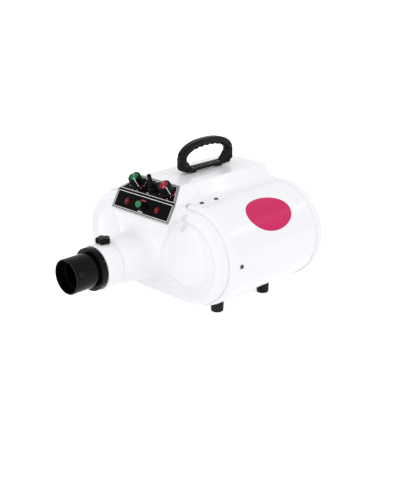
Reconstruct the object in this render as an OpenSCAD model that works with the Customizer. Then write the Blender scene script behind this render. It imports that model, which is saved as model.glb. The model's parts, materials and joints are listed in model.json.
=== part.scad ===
// Two-motor pet dryer.
// A sheet sleeve of obround section holds two blower motors side by side. A moulded front cover gathers
// their air into one outlet with a clamped hose adapter, and a tower on top carries the controls and the
// carry handle.
// X runs left to right, the outlet points along -Y, +Z is up, and the feet stand on Z = 0.

/* [Case] */
// Width of the sleeve
case_w = 352; // [336:1:380]
// Height of the sleeve
case_h = 176; // [172:1:184]
// Length of the sleeve, from the front seam to the rear seam
case_l = 222; // [212:1:260]
// Thickness of the sleeve's sheet
sheet_t = 2; // [1.5:0.1:2.5]
// How far the rolled front edge of the sleeve turns in
roll_in = 6; // [4:0.5:8]
// Length over which the front edge is rolled
roll_l = 13; // [10:1:16]
// Depth of the rear cover
cap_l = 16; // [14:1:24]
// How far the rear cover stands proud of the sleeve
cap_proud = 3; // [1:0.5:4]
// Width of each grille slot
slot_w = 5; // [4:0.5:6]
// Distance from one grille slot to the next
slot_pitch = 10; // [9:0.5:14]
// Radius of each round field of grille slots
grille_r = 58; // [45:1:62]

/* [Front cover] */
// Wall of the moulded front cover
cover_t = 3; // [2.5:0.1:3.5]
// Depth of the rounded rim in front of the seam
rim_d = 22; // [18:1:26]
// Depth of the valley inside the rim
valley_d = 15; // [12:1:16]
// Radius of each motor dome at its foot
dome_r = 54; // [50:1:56]
// Height of each motor dome above the valley
dome_h = 21; // [16:1:24]
// Length of the outlet duct, from the front seam to the neck
duct_l = 112; // [105:1:130]
// How far the outlet axis lies below the middle of the case
outlet_drop = 3.5; // [0:0.5:6]

/* [Outlet] */
// Outer diameter of the white neck ring
neck_d = 78; // [76:0.5:82]
// Length of the neck ring
neck_l = 33; // [30:1:38]
// Bore of the neck ring
neck_bore = 66; // [64:0.5:67]
// Outer diameter of the adapter's hose tube
tube_d = 60; // [57:0.5:61]
// Length of the hose tube in front of the flange
tube_l = 46; // [40:1:55]
// Outer diameter of the adapter's flange
flange_d = 74; // [72:0.5:76]
// Thickness of the adapter's flange
flange_l = 12; // [10:0.5:14]
// Wall of the hose tube
tube_t = 2.8; // [2.4:0.1:3.4]
// Diameter of the star knob that clamps the adapter
star_d = 24.5; // [22:0.5:28]

/* [Control tower] */
// Width of the tower and of the hump across their flat top
top_w = 100; // [96:1:104]
// Height of the flat top above the sleeve
top_h = 28; // [26:0.5:30]
// Width of the hump where it meets the sleeve
fold_w = 139; // [134:1:140]
// Width of the control panel
panel_w = 142; // [138:1:144]
// Height of the crease between the two panel facets, above the sleeve
crease_h = 6; // [4:0.5:8]
// Distance of the crease in front of the front seam
crease_d = 27; // [24:1:32]
// Slope of the upper facet from the horizontal, in degrees
upper_tilt = 34; // [32:1:38]
// Slope of the lower facet from the horizontal, in degrees
lower_tilt = 60; // [56:1:66]
// Length of the lower facet down its slope
lower_l = 34; // [32:1:38]
// Thickness of the control panel
panel_t = 1.2; // [0.8:0.1:1.6]
// Distance of the knobs and lamps from the middle of the panel
knob_x = 37.5; // [34:0.5:40]
// Length of the tower's run back over the sleeve
tower_back = 37; // [32:1:44]

/* [Handle] */
// Distance between the middles of the two handle legs
grip_span = 119; // [110:1:130]
// Height of the grip's middle above the hump
grip_h = 50; // [46:1:58]
// Diameter of the grip
grip_d = 16; // [14:0.5:18]
// Width of the handle's base bar
bar_w = 18; // [16:0.5:22]
// Distance of the handle's middle behind the front seam
handle_y = 117; // [110:1:125]

/* [Feet] */
// Height of the feet
foot_h = 21; // [18:1:30]
// Diameter of the feet
foot_d = 22; // [20:0.5:26]
// Distance of the feet from the middle, left and right
foot_x = 100; // [92:1:106]
// Distance of the front feet behind the front seam
foot_front = 45; // [38:1:60]
// Distance between the front and the rear feet
foot_span = 121; // [100:1:130]

/* [Motors] */
// Radius of the fan cans
can_r = 66; // [60:1:70]
// Length of the fan cans
can_l = 46; // [42:1:50]
// Distance of the motor bulkhead behind the front seam
bulkhead_y = 88; // [84:1:94]
// Diameter of the motor shafts
shaft_d = 8; // [7:0.5:9]

/* [Hidden] */
$fn = 72;

// clearances
seat = 0.3;          // between faces that only lie beside each other
run = 0.05;          // radial, between a shaft and its bore
eps = 0.01;

// case
R = case_h / 2;
cx = case_w / 2 - R;
zc = foot_h + R;
top_z = foot_h + case_h;
flat_z = top_z + top_h;
total_l = tube_l + flange_l + neck_l + duct_l + case_l + cap_l;
y_front = -total_l / 2;
y_flange = y_front + tube_l;
y_neck = y_flange + flange_l;
y_duct = y_neck + neck_l;
y_seam = y_duct + duct_l;
y_rear = y_seam + case_l;
y_back = y_rear + cap_l;
z_out = zc - outlet_drop;
notch_w = 124;
notch_l = 80;

// cover
skirt_r = R - roll_in - 0.4;
ridge_r = R - 17;
valley_r = R - 28;
tongue = 30;         // how far the skirt reaches back inside the sleeve
boss_r = 6;          // screw bosses that fill the space between skirt and sleeve
boss_h = R - sheet_t - seat - skirt_r + 1;
duct_r = neck_d / 2 - 1;

// tower
hump_y = y_seam + tower_back;
crease_y = y_seam - crease_d;
crease_z = top_z + crease_h;
upper_l = (top_h - crease_h) / sin(upper_tilt);
brow_y = crease_y + upper_l * cos(upper_tilt);
wedge = (lower_tilt - upper_tilt) / 2;       // half the bend between the two facets
bend = (lower_tilt + upper_tilt) / 2;
sill_y = crease_y - lower_l * cos(lower_tilt);
sill_z = crease_z - lower_l * sin(lower_tilt);
fold_z = top_z + 0.2;
flange_t = 1.5;
flange_x = 92;
hump_soft = 5;       // radius of the hump's upper edges
fillet_r = 8;        // hollow curve between the hump and its screwed strips
row_v = 20;          // knobs and toggle above the crease, up the upper facet
lamp_v = lower_l / 2;

// screws
screw_d = 4;
side_screw_y = y_seam + 23;
tower_screw = [flange_x - 7.5, y_seam + 22];
hump_screw = [flange_x - 6.5, y_seam + 56];

// handle
hy = y_seam + handle_y;
bar_gap = 3.5;
bar_t = 4.5;
bar_z = flat_z + bar_gap;
grip_z = flat_z + grip_h;
split_z = flat_z + 30;
handle_screw_dy = 33;
finger_step = 14;    // degrees of the arch between the finger hollows
wave_r = 14;
wave_deep = 1.1;
rib_step = 3;
rib_n = floor((grip_span / 2 - 22) / rib_step);
handle_screw_d = 5;

// motors
motor_y = y_seam + bulkhead_y;
bulk_t = 3;
gasket_t = 2;
can_y = motor_y + bulk_t + gasket_t;
can_t = 2;
eye_r = 24;
port_r = 9;
frame_r = 43;
frame_l = 76;
frame_t = 2.5;
bearing_r = 11;
bearing_l = 7;
shaft_r = shaft_d / 2;

// controls
pot_r = 12;
pot_l = 12;
pot_floor = 3;
bush_r = 4.5;
spindle_r = 3;
knob_h = 17.5;
knob_r = 13;
knob_top_r = 11.4;
flute_r = 2.2;
knob_gap = 0.6;
cap_r = 8.7;
cap_h = 1.6;
toggle_tilt = 15;
button_r = 5.8;
barrel_r = 7.2;
barrel_h = 9;

// ---- helpers ----

// A circle of radius r at each end of the section, joined by straight sides.
module obround(r) {
    for (s = [-1, 1]) translate([s * cx, 0]) circle(r);
    square([2 * cx, 2 * r], center = true);
}

// A flat outline in X and Z, given thickness from y0 back to y1.
module slab(y0, y1) {
    translate([0, y1, zc]) rotate([90, 0, 0]) linear_extrude(y1 - y0) children();
}

// A profile of radius and Y, turned about an axis along Y.
module turned(x, z) {
    translate([x, 0, z]) rotate([-90, 0, 0]) rotate_extrude() children();
}

// A profile of radius and Y, carried round the obround section.
module swept() {
    for (s = [-1, 1]) translate([s * cx, 0, zc]) rotate([-90, 0, 0]) rotate([0, 0, -90 * s])
        rotate_extrude(angle = 180) children();
    for (m = [0, 1]) translate([0, 0, zc]) mirror([0, 0, m]) translate([cx, 0, 0]) rotate([0, -90, 0])
        linear_extrude(2 * cx) children();
}

module rod_y(x, z, r, y0, y1) {
    translate([x, y0, z]) rotate([-90, 0, 0]) cylinder(r = r, h = y1 - y0);
}

// The frames of the two panel facets: X across, Y up the slope, Z out of the face.
module on_upper() translate([0, crease_y, crease_z]) rotate([upper_tilt, 0, 0]) children();
module on_lower() translate([0, sill_y, sill_z]) rotate([lower_tilt, 0, 0]) children();

module screw_places(d, z0, z1) {
    for (s = [-1, 1], p = [tower_screw, hump_screw])
        translate([s * p[0], p[1], z0]) cylinder(d = d, h = z1 - z0, $fn = 24);
}

module side_screw_places(d, x0, x1) {
    for (s = [-1, 1])
        translate([s * x0, side_screw_y, zc]) rotate([0, s * 90, 0]) cylinder(d = d, h = x1 - x0, $fn = 24);
}

module foot_places() {
    for (s = [-1, 1], y = [0, foot_span]) translate([s * foot_x, y_seam + foot_front + y, 0]) children();
}

module handle_screw_places() {
    for (s = [-1, 1]) translate([0, hy + s * handle_screw_dy, 0]) children();
}

// ---- case ----

// The sleeve's sheet in section: straight, then rolled in at the front.
module sleeve_section() {
    steps = [0 : 15 : 90];
    mid = y_seam + roll_l;
    polygon(concat(
        [[R - sheet_t, y_rear], [R, y_rear]],
        [for (a = steps) [R - roll_in * (1 - cos(a)), mid - roll_l * sin(a)]],
        [for (a = [90 : -15 : 0])
            [R - roll_in + (roll_in - sheet_t) * cos(a), mid - (roll_l - sheet_t) * sin(a)]]
    ));
}

module body_sleeve() color("white") difference() {
    swept() sleeve_section();
    translate([-notch_w / 2, y_seam - 1, zc]) cube([notch_w, notch_l + 1, R + 1]);
    screw_places(screw_d + 0.4, zc, top_z + 1);
    side_screw_places(screw_d + 0.4, cx, cx + R + 1);
    foot_places() cylinder(d = 5.4, h = zc, $fn = 24);
}

// Outline of the hump across the case, drawn in by t, with its upper edges rounded.
module hump_outline(t) {
    k = (fold_w - top_w) / 2 / top_h;
    side = t * sqrt(1 + k * k);
    r = hump_soft - t;
    turn = 90 - atan(k);
    middle = top_w / 2 - side + k * t - r * tan(turn / 2);
    edge = [for (a = [90 - turn : turn / 4 : 90]) [middle + r * cos(a), flat_z - t - r + r * sin(a)]];
    polygon(concat(
        [[-fold_w / 2 + side, fold_z], [fold_w / 2 - side, fold_z]],
        edge,
        [for (i = [len(edge) - 1 : -1 : 0]) [-edge[i][0], edge[i][1]]]
    ));
}

// The hollow curve at one foot of the hump, where the sheet turns out into the screwed strip.
module foot_fillet() {
    k = (fold_w - top_w) / 2 / top_h;
    turn = 90 - atan(k);
    foot = [fold_w / 2 - k * flange_t, fold_z + flange_t];
    middle = [foot[0] + fillet_r * tan(turn / 2), foot[1] + fillet_r];
    polygon(concat(
        [for (a = [-90 : -turn / 4 : -90 - turn]) middle + fillet_r * [cos(a), sin(a)]],
        [foot + [-1, 0.6], foot + [-1, -0.7], [middle[0], foot[1] - 0.7]]
    ));
}

module across(y0, y1) translate([0, y1, 0]) rotate([90, 0, 0]) linear_extrude(y1 - y0) children();

module top_cover() color("white") {
    t = flange_t;
    difference() {
        union() {
            difference() {
                across(hump_y + seat, y_rear) hump_outline(0);
                difference() {
                    across(hump_y + seat - 1, y_rear - t) hump_outline(t);
                    translate([-case_w, 0, 0]) cube([2 * case_w, total_l, fold_z - 5]);
                }
            }
            for (s = [0, 1]) mirror([s, 0, 0]) {
                translate([0, 0, fold_z]) linear_extrude(t) polygon([
                    [fold_w / 2 - 4, hump_y + seat], [flange_x - 1, hump_y + seat],
                    [fold_w / 2 + 4, y_rear], [fold_w / 2 - 4, y_rear],
                ]);
                across(hump_y + seat, y_rear) foot_fillet();
            }
        }
        across(hump_y, y_rear - t) polygon([
            [-fold_w / 2 + 4, fold_z - 1], [fold_w / 2 - 4, fold_z - 1],
            [fold_w / 2 - 5, fold_z + t + 1], [-fold_w / 2 + 5, fold_z + t + 1],
        ]);
        screw_places(screw_d + 0.4, top_z, flat_z + 1);
        handle_screw_places() translate([0, 0, top_z])
            cylinder(d = handle_screw_d + 0.4, h = top_h + 1, $fn = 24);
    }
}

// Rim and valley of the front cover in section, drawn in by s.
module cover_section(s) {
    a0 = 4;
    polygon(concat(
        [[0, y_seam + tongue + (s > 0 ? 1 : 0)], [skirt_r - s, y_seam + tongue + (s > 0 ? 1 : 0)]],
        [for (a = [0 : 15 : 90])
            [ridge_r + (skirt_r - s - ridge_r) * cos(a), y_seam - a0 - (rim_d - s - a0) * sin(a)]],
        [for (u = [0.25 : 0.25 : 1])
            [ridge_r + (valley_r - ridge_r) * u,
             y_seam + s - valley_d - (rim_d - valley_d) * (1 + cos(180 * u)) / 2]],
        [[0, y_seam + s - valley_d]]
    ));
}

module dome_section(s) {
    polygon(concat(
        [[0, y_seam]],
        [for (a = [0 : 10 : 90]) [(dome_r - s) * cos(a), y_seam + s - valley_d + 1 - (dome_h + 1) * sin(a)]]
    ));
}

// The duct in section: a flared foot that draws in to a near-straight pipe.
module duct_section(s) {
    front = y_duct - (s > 0 ? 1 : 0);
    polygon([
        [0, y_seam], [duct_r + 26 - s, y_seam], [duct_r + 24 - s, y_seam - valley_d + s],
        [duct_r + 17 - s, y_seam - 24], [duct_r + 12 - s, y_seam - 35], [duct_r + 8.5 - s, y_seam - 47],
        [duct_r + 5.5 - s, y_seam - 60], [duct_r + 4 - s, y_seam - 80], [duct_r + 3 - s, y_seam - 96],
        [duct_r - s, y_duct + 3], [duct_r - 1 - s, y_duct], [duct_r - 1 - s, front], [0, front],
    ]);
}

// The convex solid round the given points and their mirror images across the middle plane.
module wrapped(points) hull() polyhedron(
    points = concat(points, [for (p = points) [-p[0], p[1], p[2]]]),
    faces = [[for (i = [0 : 2 * len(points) - 1]) i]]
);

// The crease's end, set in by s from both facets.
function crease_at(s) = let (k = s / cos(wedge)) [
    panel_w / 2 - s, crease_y + k * sin(bend), crease_z - k * cos(bend)
];

// The tower below the level of the sleeve's top, in front of the seam.
module tower_front(s) {
    y = y_seam - seat;
    fall = (y - crease_y) / (hump_y - crease_y);
    wrapped([
        crease_at(s),
        [panel_w / 2 - s, sill_y + s / sin(lower_tilt), sill_z],
        [52 - s, sill_y - 3 + s, zc + 42],
        [44 - s, sill_y + 1 + s, zc + 4],
        [46 - s, y, zc],
        [62 - s, y, zc + 34],
        [74 - s, y, zc + 74],
        [panel_w / 2 - (panel_w - fold_w) / 2 * fall - s, y, fold_z + (s > 0 ? 1 : 0)],
    ]);
}

// The tower above the sleeve's top, with the slope that takes the upper facet.
module tower_top(s) {
    low = fold_z - (s > 0 ? 1 : 0);
    back = hump_y + (s > 0 ? 1 : 0);
    wrapped([
        [top_w / 2 - s, back, flat_z - s],
        [top_w / 2 - s, brow_y + s * tan(upper_tilt / 2), flat_z - s],
        crease_at(s),
        [panel_w / 2 - s, crease_y + s, low],
        [fold_w / 2 - s, back, low],
    ]);
}

module front_form(s) {
    swept() cover_section(s);
    for (m = [-1, 1]) turned(m * cx, zc) dome_section(s);
    turned(0, z_out) duct_section(s);
    tower_front(s);
}

module control_holes() {
    on_upper() for (s = [-1, 1]) translate([s * knob_x, row_v, -10]) cylinder(r = bush_r + 0.3, h = 20);
    on_upper() translate([0, row_v, -10]) cylinder(r = 6.5, h = 20);
    on_lower() for (s = [-1, 1]) translate([s * knob_x, lamp_v, -10]) cylinder(r = 4.8, h = 20);
    on_lower() translate([0, lamp_v, -10]) cylinder(r = 6.3, h = 20);
}

module front_cover() color("white") difference() {
    union() {
        difference() {
            union() {
                front_form(0);
                tower_top(0);
            }
            front_form(cover_t);
            tower_top(cover_t);
        }
        for (s = [0, 1]) mirror([s, 0, 0]) translate([0, 0, fold_z]) linear_extrude(flange_t) polygon([
            [fold_w / 2 - 2, y_seam + 6], [flange_x - 2, y_seam + 6],
            [flange_x, y_seam + 12], [flange_x, hump_y], [fold_w / 2 - 2, hump_y],
        ]);
        for (s = [0, 1]) mirror([s, 0, 0]) {
            translate([cx + skirt_r - 1, side_screw_y, zc]) rotate([0, 90, 0])
                cylinder(r = boss_r, h = boss_h);
            translate([tower_screw[0], tower_screw[1], zc + skirt_r - 1]) cylinder(r = boss_r, h = boss_h);
        }
    }
    translate([-notch_w / 2, y_seam, zc + R - 24]) cube([notch_w, tongue + 2, 24 + 0.1]);
    screw_places(screw_d, zc, top_z);
    screw_places(screw_d + 0.4, top_z - 1, top_z + 6);
    side_screw_places(screw_d, cx, cx + R + 1);
    control_holes();
}

// ---- rear ----

lip_l = 8;           // how far the rear cover's lip reaches into the sleeve

module rear_section() {
    rc = R + cap_proud;
    lip = R - sheet_t - seat;
    inner = lip - cover_t;
    back_r = 6;
    polygon(concat(
        [[0, y_back - cover_t], [inner, y_back - cover_t], [inner, y_rear - lip_l], [lip, y_rear - lip_l],
         [lip, y_rear], [rc - 3, y_rear]],
        [for (a = [90 : -15 : 0]) [rc - 3 + 3 * cos(a), y_rear + 3 - 3 * sin(a)]],
        [for (a = [0 : 15 : 90]) [rc - back_r + back_r * cos(a), y_back - back_r + back_r * sin(a)]],
        [[0, y_back]]
    ));
}

// One field of upright slots, each as long as the round field is high there.
module grille_field() {
    n = floor((grille_r - slot_w / 2) / slot_pitch);
    for (i = [-n : n]) {
        x = i * slot_pitch;
        half = sqrt(grille_r * grille_r - x * x) - slot_w / 2;
        for (s = [-1, 1]) translate([x, s * (half / 2 + 2)]) {
            square([slot_w, half - 4], center = true);
            for (e = [-1, 1]) translate([0, e * (half / 2 - 2)]) circle(d = slot_w, $fn = 24);
        }
    }
}

gland_z = foot_h + 26;
gland_r = 8;         // threaded body of the cord gland

module rear_cover() color("white") difference() {
    swept() rear_section();
    slab(y_back - cover_t - 1, y_back + 1) for (s = [-1, 1]) translate([s * cx, 0]) grille_field();
    rod_y(0, gland_z, gland_r + 0.2, y_back - cover_t - 1, y_back + 1);
    rod_y(0, gland_z, gland_r + 3.2, y_back - 1.2, y_back + 1);
}

module intake_filter() color("#3a3a3a") difference() {
    slab(y_back - cover_t - 6 - seat, y_back - cover_t - seat) obround(R - sheet_t - cover_t - 2);
    rod_y(0, gland_z, 14, y_rear - 20, y_back);
}

module filter_retainer() color("#202020") {
    y1 = y_back - cover_t - 6 - 2 * seat;
    outer = R - sheet_t - cover_t - 1;
    difference() {
        slab(y1 - 2, y1) obround(outer);
        slab(y1 - 3, y1 + 1) {
            for (s = [-1, 1]) translate([s * cx, 0]) {
                intersection() {
                    circle(outer - 8);
                    for (i = [-3 : 3]) translate([i * 20, 0]) square([16, 2 * outer], center = true);
                }
            }
        }
        rod_y(0, gland_z, 14, y1 - 3, y1 + 1);
    }
}

module cord_gland() color("#202020") turned(0, gland_z) {
    polygon([
        [4, y_back - cover_t - 10], [gland_r, y_back - cover_t - 10], [gland_r, y_back - 1.1],
        [gland_r + 3, y_back - 1.1], [gland_r + 3, y_back - 0.4], [gland_r + 2.4, y_back], [4, y_back],
    ]);
}

module gland_nut() color("#202020") difference() {
    rod_y(0, gland_z, gland_r + 4, y_back - cover_t - 5.2, y_back - cover_t - 0.1);
    rod_y(0, gland_z, gland_r + 0.05, y_back - cover_t - 6, y_back - cover_t + 1);
}

// ---- outlet ----

star_z = z_out + neck_d / 2;
star_y = y_neck + neck_l * 0.6;
stud_r = 3;
stud_gap = 0.8;      // between the loosened stud and the adapter
spigot_r = neck_bore / 2 - run;
flange_step = 2;     // front lip of the flange ring, which the spigot's shoulder meets
lip_seat = 0.5;      // how far the tube steps in under that lip

module outlet_neck() color("white") difference() {
    turned(0, z_out) polygon([
        [neck_bore / 2, y_neck], [neck_d / 2 - 1, y_neck], [neck_d / 2, y_neck + 1], [neck_d / 2, y_duct - 1],
        [neck_d / 2 - 1, y_duct], [neck_bore / 2, y_duct],
    ]);
    translate([0, star_y, z_out]) cylinder(r = stud_r + run, h = neck_d);
}

// The hose tube and the spigot behind it, with a groove that sets off the tube's rim.
module outlet_adapter() color("#181818") turned(0, z_out) {
    ro = tube_d / 2;
    ri = ro - tube_t;
    ledge = ri - 2.4;
    shoulder = y_flange + flange_step + seat / 3;
    step = y_flange - seat / 3;
    polygon([
        [ri, y_front + 0.5], [ri + 0.5, y_front], [ro - 0.8, y_front], [ro, y_front + 0.8],
        [ro, y_front + 2.8], [ro - 0.5, y_front + 3.2], [ro - 0.5, y_front + 3.8], [ro, y_front + 4.2],
        [ro, step], [ro - lip_seat, step], [ro - lip_seat, shoulder], [spigot_r, shoulder],
        [spigot_r, y_duct - 5], [spigot_r - 1, y_duct - 4], [ledge, y_duct - 4], [ledge, y_front + 18],
        [ri, y_front + 17.4],
    ]);
}

// The thick ring between the hose tube and the neck, with a small notch low on its right.
module adapter_flange() color("#181818") difference() {
    bore = tube_d / 2 - lip_seat + run;
    rf = flange_d / 2;
    turned(0, z_out) polygon([
        [bore, y_flange], [rf - 1.2, y_flange], [rf, y_flange + 1.2], [rf, y_neck - seat - 0.6],
        [rf - 0.6, y_neck - seat], [spigot_r + run, y_neck - seat], [spigot_r + run, y_flange + flange_step],
        [bore, y_flange + flange_step],
    ]);
    translate([0, y_neck, z_out]) rotate([0, 141, 0]) translate([-2.2, -4.5, rf - 1.6]) cube([4.4, 5, 4]);
}

// A five-lobed hand knob with its clamping stud.
module clamp_knob() color("#181818") translate([0, star_y, 0]) {
    lobe = star_d * 0.17;
    reach = star_d / 2 - lobe;
    translate([0, 0, star_z + seat]) linear_extrude(7.5) {
        circle(star_d * 0.3);
        for (i = [0 : 4]) rotate(72 * i + 18) {
            translate([reach, 0]) circle(lobe);
            translate([0, -lobe * 0.8]) square([reach, lobe * 1.6]);
        }
    }
    translate([0, 0, z_out + neck_bore / 2 + stud_gap])
        cylinder(r = stud_r, h = (neck_d - neck_bore) / 2 - stud_gap + seat + 1);
}

// ---- control panel ----

// A point in Y and Z at height h over the lower facet's foot, and one at v up the upper facet.
function over_sill(h) = [sill_y - h * sin(lower_tilt), sill_z + h * cos(lower_tilt)];
function over_upper(v, h) = [
    crease_y + v * cos(upper_tilt) - h * sin(upper_tilt), crease_z + v * sin(upper_tilt) + h * cos(upper_tilt)
];

// One sheet bent along the crease; its upper facet narrows towards the brow.
module control_panel() color("#1c1c1e") difference() {
    low = seat / 3;
    high = low + panel_t;
    inset = 0.8;
    end = upper_l - inset;
    k = (panel_w / 2 - top_w / 2 + inset) / end;
    translate([-panel_w / 2, 0, 0]) rotate([90, 0, 90]) linear_extrude(panel_w) polygon([
        over_sill(low), over_sill(high), [crease_at(-high)[1], crease_at(-high)[2]], over_upper(end, high),
        over_upper(end, low), [crease_at(-low)[1], crease_at(-low)[2]],
    ]);
    for (m = [0, 1]) mirror([m, 0, 0]) on_upper() translate([0, 0, -1]) linear_extrude(panel_t + 2) polygon([
        [panel_w / 2 + k, -1], [panel_w, -1], [panel_w, end + 1], [panel_w / 2 - k * (end + 1), end + 1],
    ]);
    control_holes();
}

module dimmer(x) color("#303030") on_upper() translate([x, row_v, 0]) difference() {
    union() {
        translate([0, 0, -cover_t - 0.2 - pot_l]) cylinder(r = pot_r, h = pot_l);
        translate([0, 0, -cover_t - 0.2 - eps]) cylinder(r = bush_r, h = cover_t + panel_t + 0.3);
    }
    translate([0, 0, -cover_t - pot_l + pot_floor]) cylinder(r = spindle_r + run, h = 40);
}

module air_dimmer() dimmer(-knob_x);
module heat_dimmer() dimmer(knob_x);

module spindle(x) color("silver") on_upper() translate([x, row_v, -cover_t - pot_l + pot_floor + seat])
    cylinder(r = spindle_r, h = cover_t + pot_l - pot_floor + panel_t + 12);

module air_shaft() spindle(-knob_x);
module heat_shaft() spindle(knob_x);

// A skirted knob with fluted sides.
module knob(x) color("#1a1a1a") on_upper() translate([x, row_v, panel_t + knob_gap]) difference() {
    rotate_extrude() polygon([
        [0, 0], [knob_r, 0], [knob_r, 2], [knob_r - 0.8, 2.8], [knob_top_r + 0.4, 4],
        [knob_top_r, knob_h - 1.2], [knob_top_r - 1, knob_h], [0, knob_h],
    ]);
    for (i = [0 : 9]) rotate(36 * i + 18) translate([knob_top_r + flute_r - 0.6, 0, 5])
        cylinder(r = flute_r, h = knob_h, $fn = 24);
    translate([0, 0, knob_h - 1]) cylinder(r = cap_r + 0.05, h = 2);
    translate([0, 0, -1]) cylinder(r = spindle_r, h = 13.2);
    translate([0, 0, -1]) cylinder(r = bush_r + 0.5, h = 2);
}

module air_knob() knob(-knob_x);
module heat_knob() knob(knob_x);

module knob_cap(x, c) color(c) on_upper()
    translate([x, row_v, panel_t + knob_gap + knob_h - 1]) cylinder(r = cap_r, h = cap_h);

module air_knob_cap() knob_cap(-knob_x, "#2fa05a");
module heat_knob_cap() knob_cap(knob_x, "#c02a3a");

// The toggle stands thrown up the slope. It pivots on a cross pin just above the panel.
pivot_h = panel_t + 3;
pivot_r = 1.2;
toggle_bore = 5.3;
toggle_bush = 5.9;

module on_pivot() on_upper() translate([0, row_v, pivot_h]) children();

module power_toggle() color("#1a1a1a") on_pivot() rotate([-toggle_tilt, 0, 0]) union() {
    rotate_extrude() polygon([
        [0, -4.4], [2, -4.2], [3.6, -2.9], [4.5, -1], [4.6, 0], [4.5, 1.1], [4.1, 2.6], [4.5, 3.6],
        [4.5, 4.8], [3.9, 5.8], [4.1, 6.8], [4, 8], [3.5, 9], [3.3, 19], [3.7, 21.5], [3.4, 23.4],
        [2.4, 24.4], [0, 24.8],
    ]);
    translate([-toggle_bush + 0.1, 0, 0]) rotate([0, 90, 0]) cylinder(r = pivot_r, h = 2 * toggle_bush - 0.2);
}

module toggle_nut() color("#1a1a1a") on_upper() translate([0, row_v, panel_t + 0.1]) difference() {
    rotate_extrude() polygon([
        [6, 0], [9.8, 0], [9.8, 1.6], [8.8, 3], [8.2, 4.4], [6.9, 5],
    ]);
    translate([0, 0, -1]) cylinder(r = toggle_bush + run, h = 3);
}

module power_switch() color("#303030") difference() {
    on_upper() translate([0, row_v, -cover_t - 0.2]) union() {
        translate([-9, -7, -22]) cube([18, 14, 22]);
        translate([0, 0, -eps]) cylinder(r = toggle_bush, h = cover_t + 0.2 + pivot_h + 2);
    }
    on_pivot() {
        translate([0, 0, -pivot_h - cover_t]) cylinder(r = toggle_bore, h = 20);
        translate([-10, 0, 0]) rotate([0, 90, 0]) cylinder(r = pivot_r + run, h = 20);
    }
}

module button_switch() color("#1a1a1a") on_lower() translate([0, lamp_v, 0]) difference() {
    union() {
        translate([0, 0, -cover_t - 0.2 - 16]) cylinder(r = 9, h = 16);
        translate([0, 0, -cover_t - 0.2 - eps]) cylinder(r = 6, h = cover_t + panel_t + 0.4);
        translate([0, 0, panel_t + 0.1]) rotate_extrude() polygon([
            [0, 0], [barrel_r + 0.8, 0], [barrel_r + 0.8, 1], [barrel_r, 2], [barrel_r - 0.5, barrel_h - 0.5],
            [barrel_r - 0.9, barrel_h], [0, barrel_h],
        ]);
    }
    translate([0, 0, panel_t + 3]) cylinder(r = button_r + seat - 0.1, h = 20);
    translate([0, 0, -cover_t - 6]) cylinder(r = 2.3, h = 30);
}

module push_button() color("#2fa05a") on_lower() translate([0, lamp_v, panel_t]) {
    rotate_extrude() polygon(concat(
        [[0, -4], [2, -4], [2, 6], [button_r, 6]],
        [for (a = [0 : 15 : 75]) [button_r * cos(a), barrel_h + 1.6 + 3 * sin(a)]],
        [[0, barrel_h + 4.6]]
    ));
}

module lamp(x) color("#d02020") on_lower() translate([x, lamp_v, 0]) union() {
    translate([0, 0, -cover_t - 0.2 - 12]) cylinder(r = 4.5, h = 12 + cover_t + 0.2 + panel_t + 0.1);
    translate([0, 0, panel_t + 0.1]) rotate_extrude() polygon(concat(
        [[0, 0], [6.2, 0], [6.2, 0.9], [5.6, 1.4]],
        [for (a = [15 : 15 : 75]) [5.4 * cos(a), 1.4 + 2.6 * sin(a)]],
        [[0, 4]]
    ));
}

module lamp_left() lamp(-knob_x);
module lamp_right() lamp(knob_x);

// ---- handle ----

// A point of the grip's middle line, a flattened arch, at angle a.
function arch(a) = let (n = 0.86) [
    hy + grip_span / 2 * sign(cos(a)) * pow(abs(cos(a)), n),
    split_z - 8 + (grip_z - split_z + 8) * pow(sin(a), n)
];

module grip_ball(a, r) translate([0, arch(a)[0], arch(a)[1]]) rotate([0, 90, 0]) rotate_extrude($fn = 16)
    polygon([[0, -r], [r * 0.7, -r], [r, -r * 0.62], [r, r * 0.62], [r * 0.7, r], [0, r]]);

module handle_grip() color("#1d1d1f") difference() {
    r = grip_d / 2;
    steps = 18;
    union() for (i = [0 : steps - 1]) hull() {
        grip_ball(180 * i / steps, r);
        grip_ball(180 * (i + 1) / steps, r);
    }
    translate([-50, hy - 100, split_z - 60 + 0.1]) cube([100, 200, 60]);
    // hollows for the fingers under the grip
    for (i = [-2 : 2]) {
        p = arch(90 + i * finger_step);
        away = wave_r + r - wave_deep;
        q = arch(90 + i * finger_step + 1) - arch(90 + i * finger_step - 1);
        d = [q[1], -q[0]] / norm(q);
        translate([-grip_d, p[0] - away * d[0], p[1] - away * d[1]]) rotate([0, 90, 0])
            cylinder(r = wave_r, h = 2 * grip_d);
    }
}

module ear(s) translate([0, hy, 0]) mirror([0, s, 0]) {
    half = grip_span / 2;
    r = grip_d / 2;
    translate([-bar_w / 2 + 1, 0, 0]) rotate([90, 0, 90]) linear_extrude(bar_w - 2) polygon([
        [half - 18, bar_z], [half - 4, bar_z], [half + 1, bar_z + 6], [half + r - 1, bar_z + 6],
        [half + r, bar_z + 9], [half + r, split_z], [half - r, split_z], [half - r - 1, split_z - 6],
        [half - r - 6, bar_z + 10], [half - 20, bar_z + bar_t],
    ]);
}

module rib_section() polygon([
    [-rib_step * 0.3, 0], [rib_step * 0.3, 0], [rib_step * 0.2, 1.1], [-rib_step * 0.2, 1.1],
]);

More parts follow.
